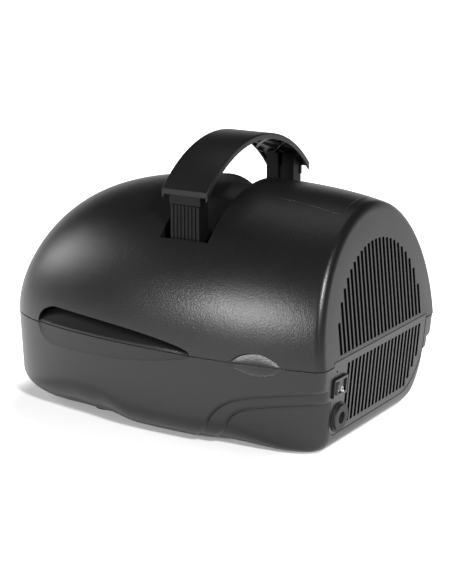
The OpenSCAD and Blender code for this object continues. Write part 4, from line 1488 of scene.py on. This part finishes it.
@dataclass
class SwitchMarks:
    """The white bar and ring on the rocker, laid on its face."""

    form: BodyForm
    bar: Pair = (-75.4, 52.8)
    bar_half: Pair = (1.7, 0.45)
    ring: Pair = (-66.7, 51.9)
    ring_r: Pair = (2.1, 1.2)
    proud: float = 0.08
    deep: float = 0.25
    look_from: float = 0.3
    name: str = "switch_marks"

    def _strip(self, inner: np.ndarray, outer: np.ndarray, closed: bool, tree: BVHTree) -> tuple[np.ndarray, list]:
        """Lays a strip between two lines on the rocker's face and gives it a thickness.

        Args:
            inner: Points of one line in Y and Z.
            outer: Points of the other line.
            closed: Whether the strip closes on itself.
            tree: The rocker's faces.

        Returns:
            The strip's points and its faces.
        """
        count, back, flat = len(inner), Vector((-1, 0, 0)), np.concatenate([inner, outer])
        hits = [tree.ray_cast(Vector((self.look_from, y * MM, z * MM)), back)[0] for y, z in flat]
        x = np.array([hit.x / MM if hit else self.form.length / 2 for hit in hits])
        points = np.concatenate([np.column_stack([x + self.proud, flat]), np.column_stack([x - self.deep, flat])])
        faces: list[tuple[int, ...]] = []
        for i in range(count if closed else count - 1):
            j = (i + 1) % count
            a, b, c, d = i, j, count + j, count + i
            e, f, g, h = (v + 2 * count for v in (a, b, c, d))
            faces += [(a, b, c, d), (h, g, f, e), (a, e, f, b), (d, c, g, h)]
        if not closed:
            faces += [(i, count + i, 3 * count + i, 2 * count + i) for i in (0, count - 1)]
        return points, faces

    def build(self, finishes: Finishes, rocker: Thing) -> Thing:
        """Builds and dresses both marks as one piece.

        Args:
            finishes: The finishes to dress it with.
            rocker: The rocker's solid.

        Returns:
            The finished marks.
        """
        mesh, (half_y, half_z) = rocker.data, self.bar_half
        tree = BVHTree.FromPolygons([v.co for v in mesh.vertices], [tuple(p.vertices) for p in mesh.polygons])
        y = np.linspace(self.bar[0] - half_y, self.bar[0] + half_y, 9)
        low, high = (np.column_stack([y, np.full(len(y), self.bar[1] + s * half_z)]) for s in (-1, 1))
        points, faces = self._strip(low, high, False, tree)
        turn = np.linspace(0, 2 * math.pi, 40, endpoint=False)
        around = np.column_stack([np.cos(turn), np.sin(turn)])
        outer, inner = (np.add(self.ring, radius * around) for radius in self.ring_r)
        more, rest = self._strip(inner, outer, True, tree)
        faces += [tuple(i + len(points) for i in face) for face in rest]
        thing = tidy_normals(make_object(self.name, np.concatenate([points, more]), faces))
        finishes.dress(thing, "mark")
        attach(thing, "rocker")
        return report(thing)


@dataclass
class RaisedLine:
    """The fine raised line on the barrel beside the grip: a long run, a round corner and a short run."""

    form: BodyForm
    start: Pair = (82.6, -32.6)
    corner: Pair = (137.2, -34.6)
    finish: Pair = (136.3, 11.0)
    corner_r: float = 5.0
    half_w: float = 0.45
    proud: float = 0.4
    deep: float = 0.5
    name: str = "raised_line"

    def _on_dome(self, x: float, y: float) -> np.ndarray:
        """Point of the barrel's plain surface over a place, found in a few rounds because the barrel leans.

        Args:
            x: Place along the barrel.
            y: Place across it.

        Returns:
            The point.
        """
        form, s, up = self.form, 0.1, 0.0
        for _ in range(6):
            up = float(form.crown(s)) * math.sqrt(1 - (y / float(form.half_width(s))) ** 2)
            s = form.station(x + form.lean(s) * up)
        return np.array([x, y, form.split + up])

    def _path(self) -> np.ndarray:
        """Goes along the line.

        Returns:
            Its places in X and Y.
        """
        start, corner, finish = (np.array(p) for p in (self.start, self.corner, self.finish))
        back, on = ((end - corner) / np.linalg.norm(end - corner) * self.corner_r for end in (start, finish))
        first = [start + (corner + back - start) * t for t in np.linspace(0, 1, 24)]
        bend = [corner + back * (1 - t) ** 2 + on * t**2 for t in np.linspace(0, 1, 10)[1:-1]]
        last = [corner + on + (finish - corner - on) * t for t in np.linspace(0, 1, 20)]
        return np.array(first + bend + last)

    def build(self, finishes: Finishes) -> Thing:
        """Builds and dresses the line.

        Args:
            finishes: The finishes to dress it with.

        Returns:
            The finished line.
        """
        spots = np.array([self._on_dome(*place) for place in self._path()])
        upward = np.stack([np.zeros(len(spots)), spots[:, 1], spots[:, 2] - self.form.split], axis=1)
        upward /= np.linalg.norm(upward, axis=1, keepdims=True)
        across = np.cross(np.gradient(spots, axis=0), upward)
        across /= np.linalg.norm(across, axis=1, keepdims=True)
        section = [(-1, -self.deep), (1, -self.deep), (1, 0.0), (0.5, self.proud), (-0.5, self.proud), (-1, 0.0)]
        rings = np.stack([spots + across * self.half_w * a + upward * b for a, b in section], axis=1)
        thing = smooth_below(loft(self.name, rings), 60)
        finishes.dress(thing, "shell")
        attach(thing, "body")
        return report(thing)


# --------------------------------------------------------------------------- studio


@dataclass(frozen=True)
class Lamp:
    """One soft lamp: where it hangs, its width and height, its power and what it faces."""

    name: str
    spot: Triple
    size: Pair
    watts: float
    aim: Triple = (0.0, 0.0, 0.1)

    def hang(self) -> None:
        """Hangs the lamp."""
        data = bpy.data.lights.new(self.name, "AREA")
        data.shape = "RECTANGLE"
        data.size, data.size_y = self.size
        data.energy = self.watts
        lamp = link(bpy.data.objects.new(self.name, data))
        lamp.location = self.spot
        lamp.rotation_mode = "QUATERNION"
        lamp.rotation_quaternion = (Vector(self.aim) - Vector(self.spot)).to_track_quat("-Z", "Y")


@dataclass
class Studio:
    """The pale floor with a painted contact shadow, the soft lamps and the camera."""

    azimuth: float = 31.56
    elevation: float = 14.91
    target: Triple = (0.01285, 0.0, 0.09364)
    distance: float = 1.3840
    lens: float = 101.36
    floor_half: float = 6000.0
    floor_z: float = -0.05
    floor_tone: float = 0.86
    # Painted contact shadow: where the floor's glow round the footprint rises from dark to white.
    footprint: Pair = (0.132, 0.136)
    footprint_middle: float = -0.01
    painted_shadow_span: Pair = (1.0, 1.42)
    floor_seen: Pair = (0.12, 1.5)
    floor_mirrored: Pair = (0.9, 0.12)
    sky: Pair = (1.0, 0.02)
    room: Pair = (1.0, 0.22)
    lamps: tuple[Lamp, ...] = (
        Lamp("top_box", (-0.4, 0.6, 2.2), (1.2, 1.2), 3),
        Lamp("left_box", (-1.75, -0.35, 0.85), (0.8, 0.6), 10),
        Lamp("front_box", (-0.42, -1.85, 0.72), (0.3, 0.3), 24),
        Lamp("edge_box", (1.3, -0.9, 1.25), (0.25, 0.25), 36),
    )

    def camera(self) -> None:
        """Sets the camera."""
        data = bpy.data.cameras.new("camera")
        data.lens = self.lens
        data.sensor_width = 36.0
        data.clip_start, data.clip_end = 0.05, 60
        camera = link(bpy.data.objects.new("camera", data))
        a, e = math.radians(self.azimuth), math.radians(self.elevation)
        back = Vector((math.sin(a) * math.cos(e), -math.cos(a) * math.cos(e), math.sin(e)))
        camera.location = Vector(self.target) + back * self.distance
        camera.rotation_mode = "QUATERNION"
        camera.rotation_quaternion = (-back).to_track_quat("-Z", "Y")
        bpy.context.scene.camera = camera

    def viewer(self) -> Triple:
        """Level direction from the blower towards the camera."""
        turn = math.radians(self.azimuth)
        return math.sin(turn), -math.cos(turn), 0.0

    def floor(self) -> None:
        """Lays the floor, which shows white away from the blower, with a painted contact shadow round its footprint
        besides the lamps' real shadows; in reflections it is dark near the blower, a painted shade, and dimmer near the
        camera.
        """
        size, z = self.floor_half, self.floor_z
        floor = make_object("floor", np.array([(-size, -size, z), (size, -size, z), (size, size, z), (-size, size, z)]),
                            [(0, 1, 2, 3)])
        material = bpy.data.materials.new("pale_floor")
        material.use_nodes = True
        wires = Wiring(material.node_tree)
        place = wires.add("ShaderNodeTexCoord").outputs["Object"]
        parts = wires.add("ShaderNodeSeparateXYZ", {0: place}).outputs
        spans = zip((wires.math("SUBTRACT", parts["X"], self.footprint_middle), parts["Y"]), self.footprint)
        fourth = [wires.math("POWER", wires.math("ABSOLUTE", wires.math("DIVIDE", value, half)), 4.0)
                  for value, half in spans]
        share = wires.math("POWER", wires.math("ADD", *fourth), 0.25)
        # Painted shadow: for camera rays the floor glows dimly near the footprint and white further out.
        seen = wires.ramp(share, self.painted_shadow_span, self.floor_seen)
        near = wires.ramp(wires.toward(place, self.viewer()), (0.1, 0.75), self.floor_mirrored)
        # Painted shade in reflections: for glossy rays the floor does not glow near the footprint.
        mirrored = wires.math("MULTIPLY", wires.ramp(share, self.painted_shadow_span, (0.0, 1.0)), near)
        rays = wires.add("ShaderNodeLightPath").outputs
        glow = wires.math("ADD", wires.math("MULTIPLY", rays["Is Camera Ray"], seen),
                          wires.math("MULTIPLY", rays["Is Glossy Ray"], mirrored))
        looks = {"Base Color": (*grey(self.floor_tone), 1), "Roughness": 0.9, "Specular IOR Level": 0.0,
                 "Emission Color": (1, 1, 1, 1), "Emission Strength": glow}
        shader = material.node_tree.nodes["Principled BSDF"]
        for name, value in looks.items():
            wires.feed(shader.inputs[name], value)
        floor.data.materials.append(material)

    def world(self) -> None:
        """Sets the surroundings: a white sweep behind, dark overhead and dark on the camera's side."""
        world = bpy.data.worlds.new("studio")
        bpy.context.scene.world = world
        world.use_nodes = True
        wires = Wiring(world.node_tree)
        place = wires.add("ShaderNodeTexCoord").outputs["Generated"]
        up = wires.add("ShaderNodeSeparateXYZ", {0: place}).outputs["Z"]
        height = wires.ramp(up, (0.0, 0.42), self.sky)
        room = wires.ramp(wires.toward(place, self.viewer()), (-0.55, 0.35), self.room)
        rays = wires.add("ShaderNodeLightPath").outputs
        pick = wires.add("ShaderNodeMix", {0: rays["Is Camera Ray"], 2: wires.math("MULTIPLY", height, room), 3: 1.0},
                         data_type="FLOAT")
        back = world.node_tree.nodes["Background"].inputs
        wires.feed(back["Color"], (1, 1, 1, 1))
        wires.feed(back["Strength"], pick.outputs[0])

    def build(self) -> None:
        """Sets up the whole studio."""
        self.camera()
        self.floor()
        self.world()
        for lamp in self.lamps:
            lamp.hang()
        bpy.context.scene.view_settings.view_transform = "Standard"


# --------------------------------------------------------------------------- everything


def main() -> None:
    """Builds the whole dressed blower."""
    logging.basicConfig(level=logging.INFO, format="%(message)s")
    for thing in list(bpy.data.objects):
        bpy.data.objects.remove(thing)
    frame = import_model()
    Studio().build()
    finishes = Finishes()
    nodes = frame["nodes"]
    for node, finish in NODE_FINISH.items():
        finishes.dress(nodes[node], finish)
    form = BodyForm()
    grip, relief, slots, panel = GripForm(form), SideRelief(form), EndSlots(form), PanelForm(form)
    # Painted shade: the near-black finish that the walls of the slots take.
    dark = finishes.get("slot")
    UpperShell(form, grip, relief).build(finishes, slots.upper(dark), panel.notch())
    PanelSkin(panel).build(finishes, nodes["end_panel"], slots.lower(dark, panel.place()))
    GripSkin(grip).build(finishes)
    SwitchMarks(form).build(finishes, nodes["switch_rocker"])
    RaisedLine(form).build(finishes)
    LowerShell(form, relief).build(finishes, panel.window())


if __name__ == "__main__":
    main()
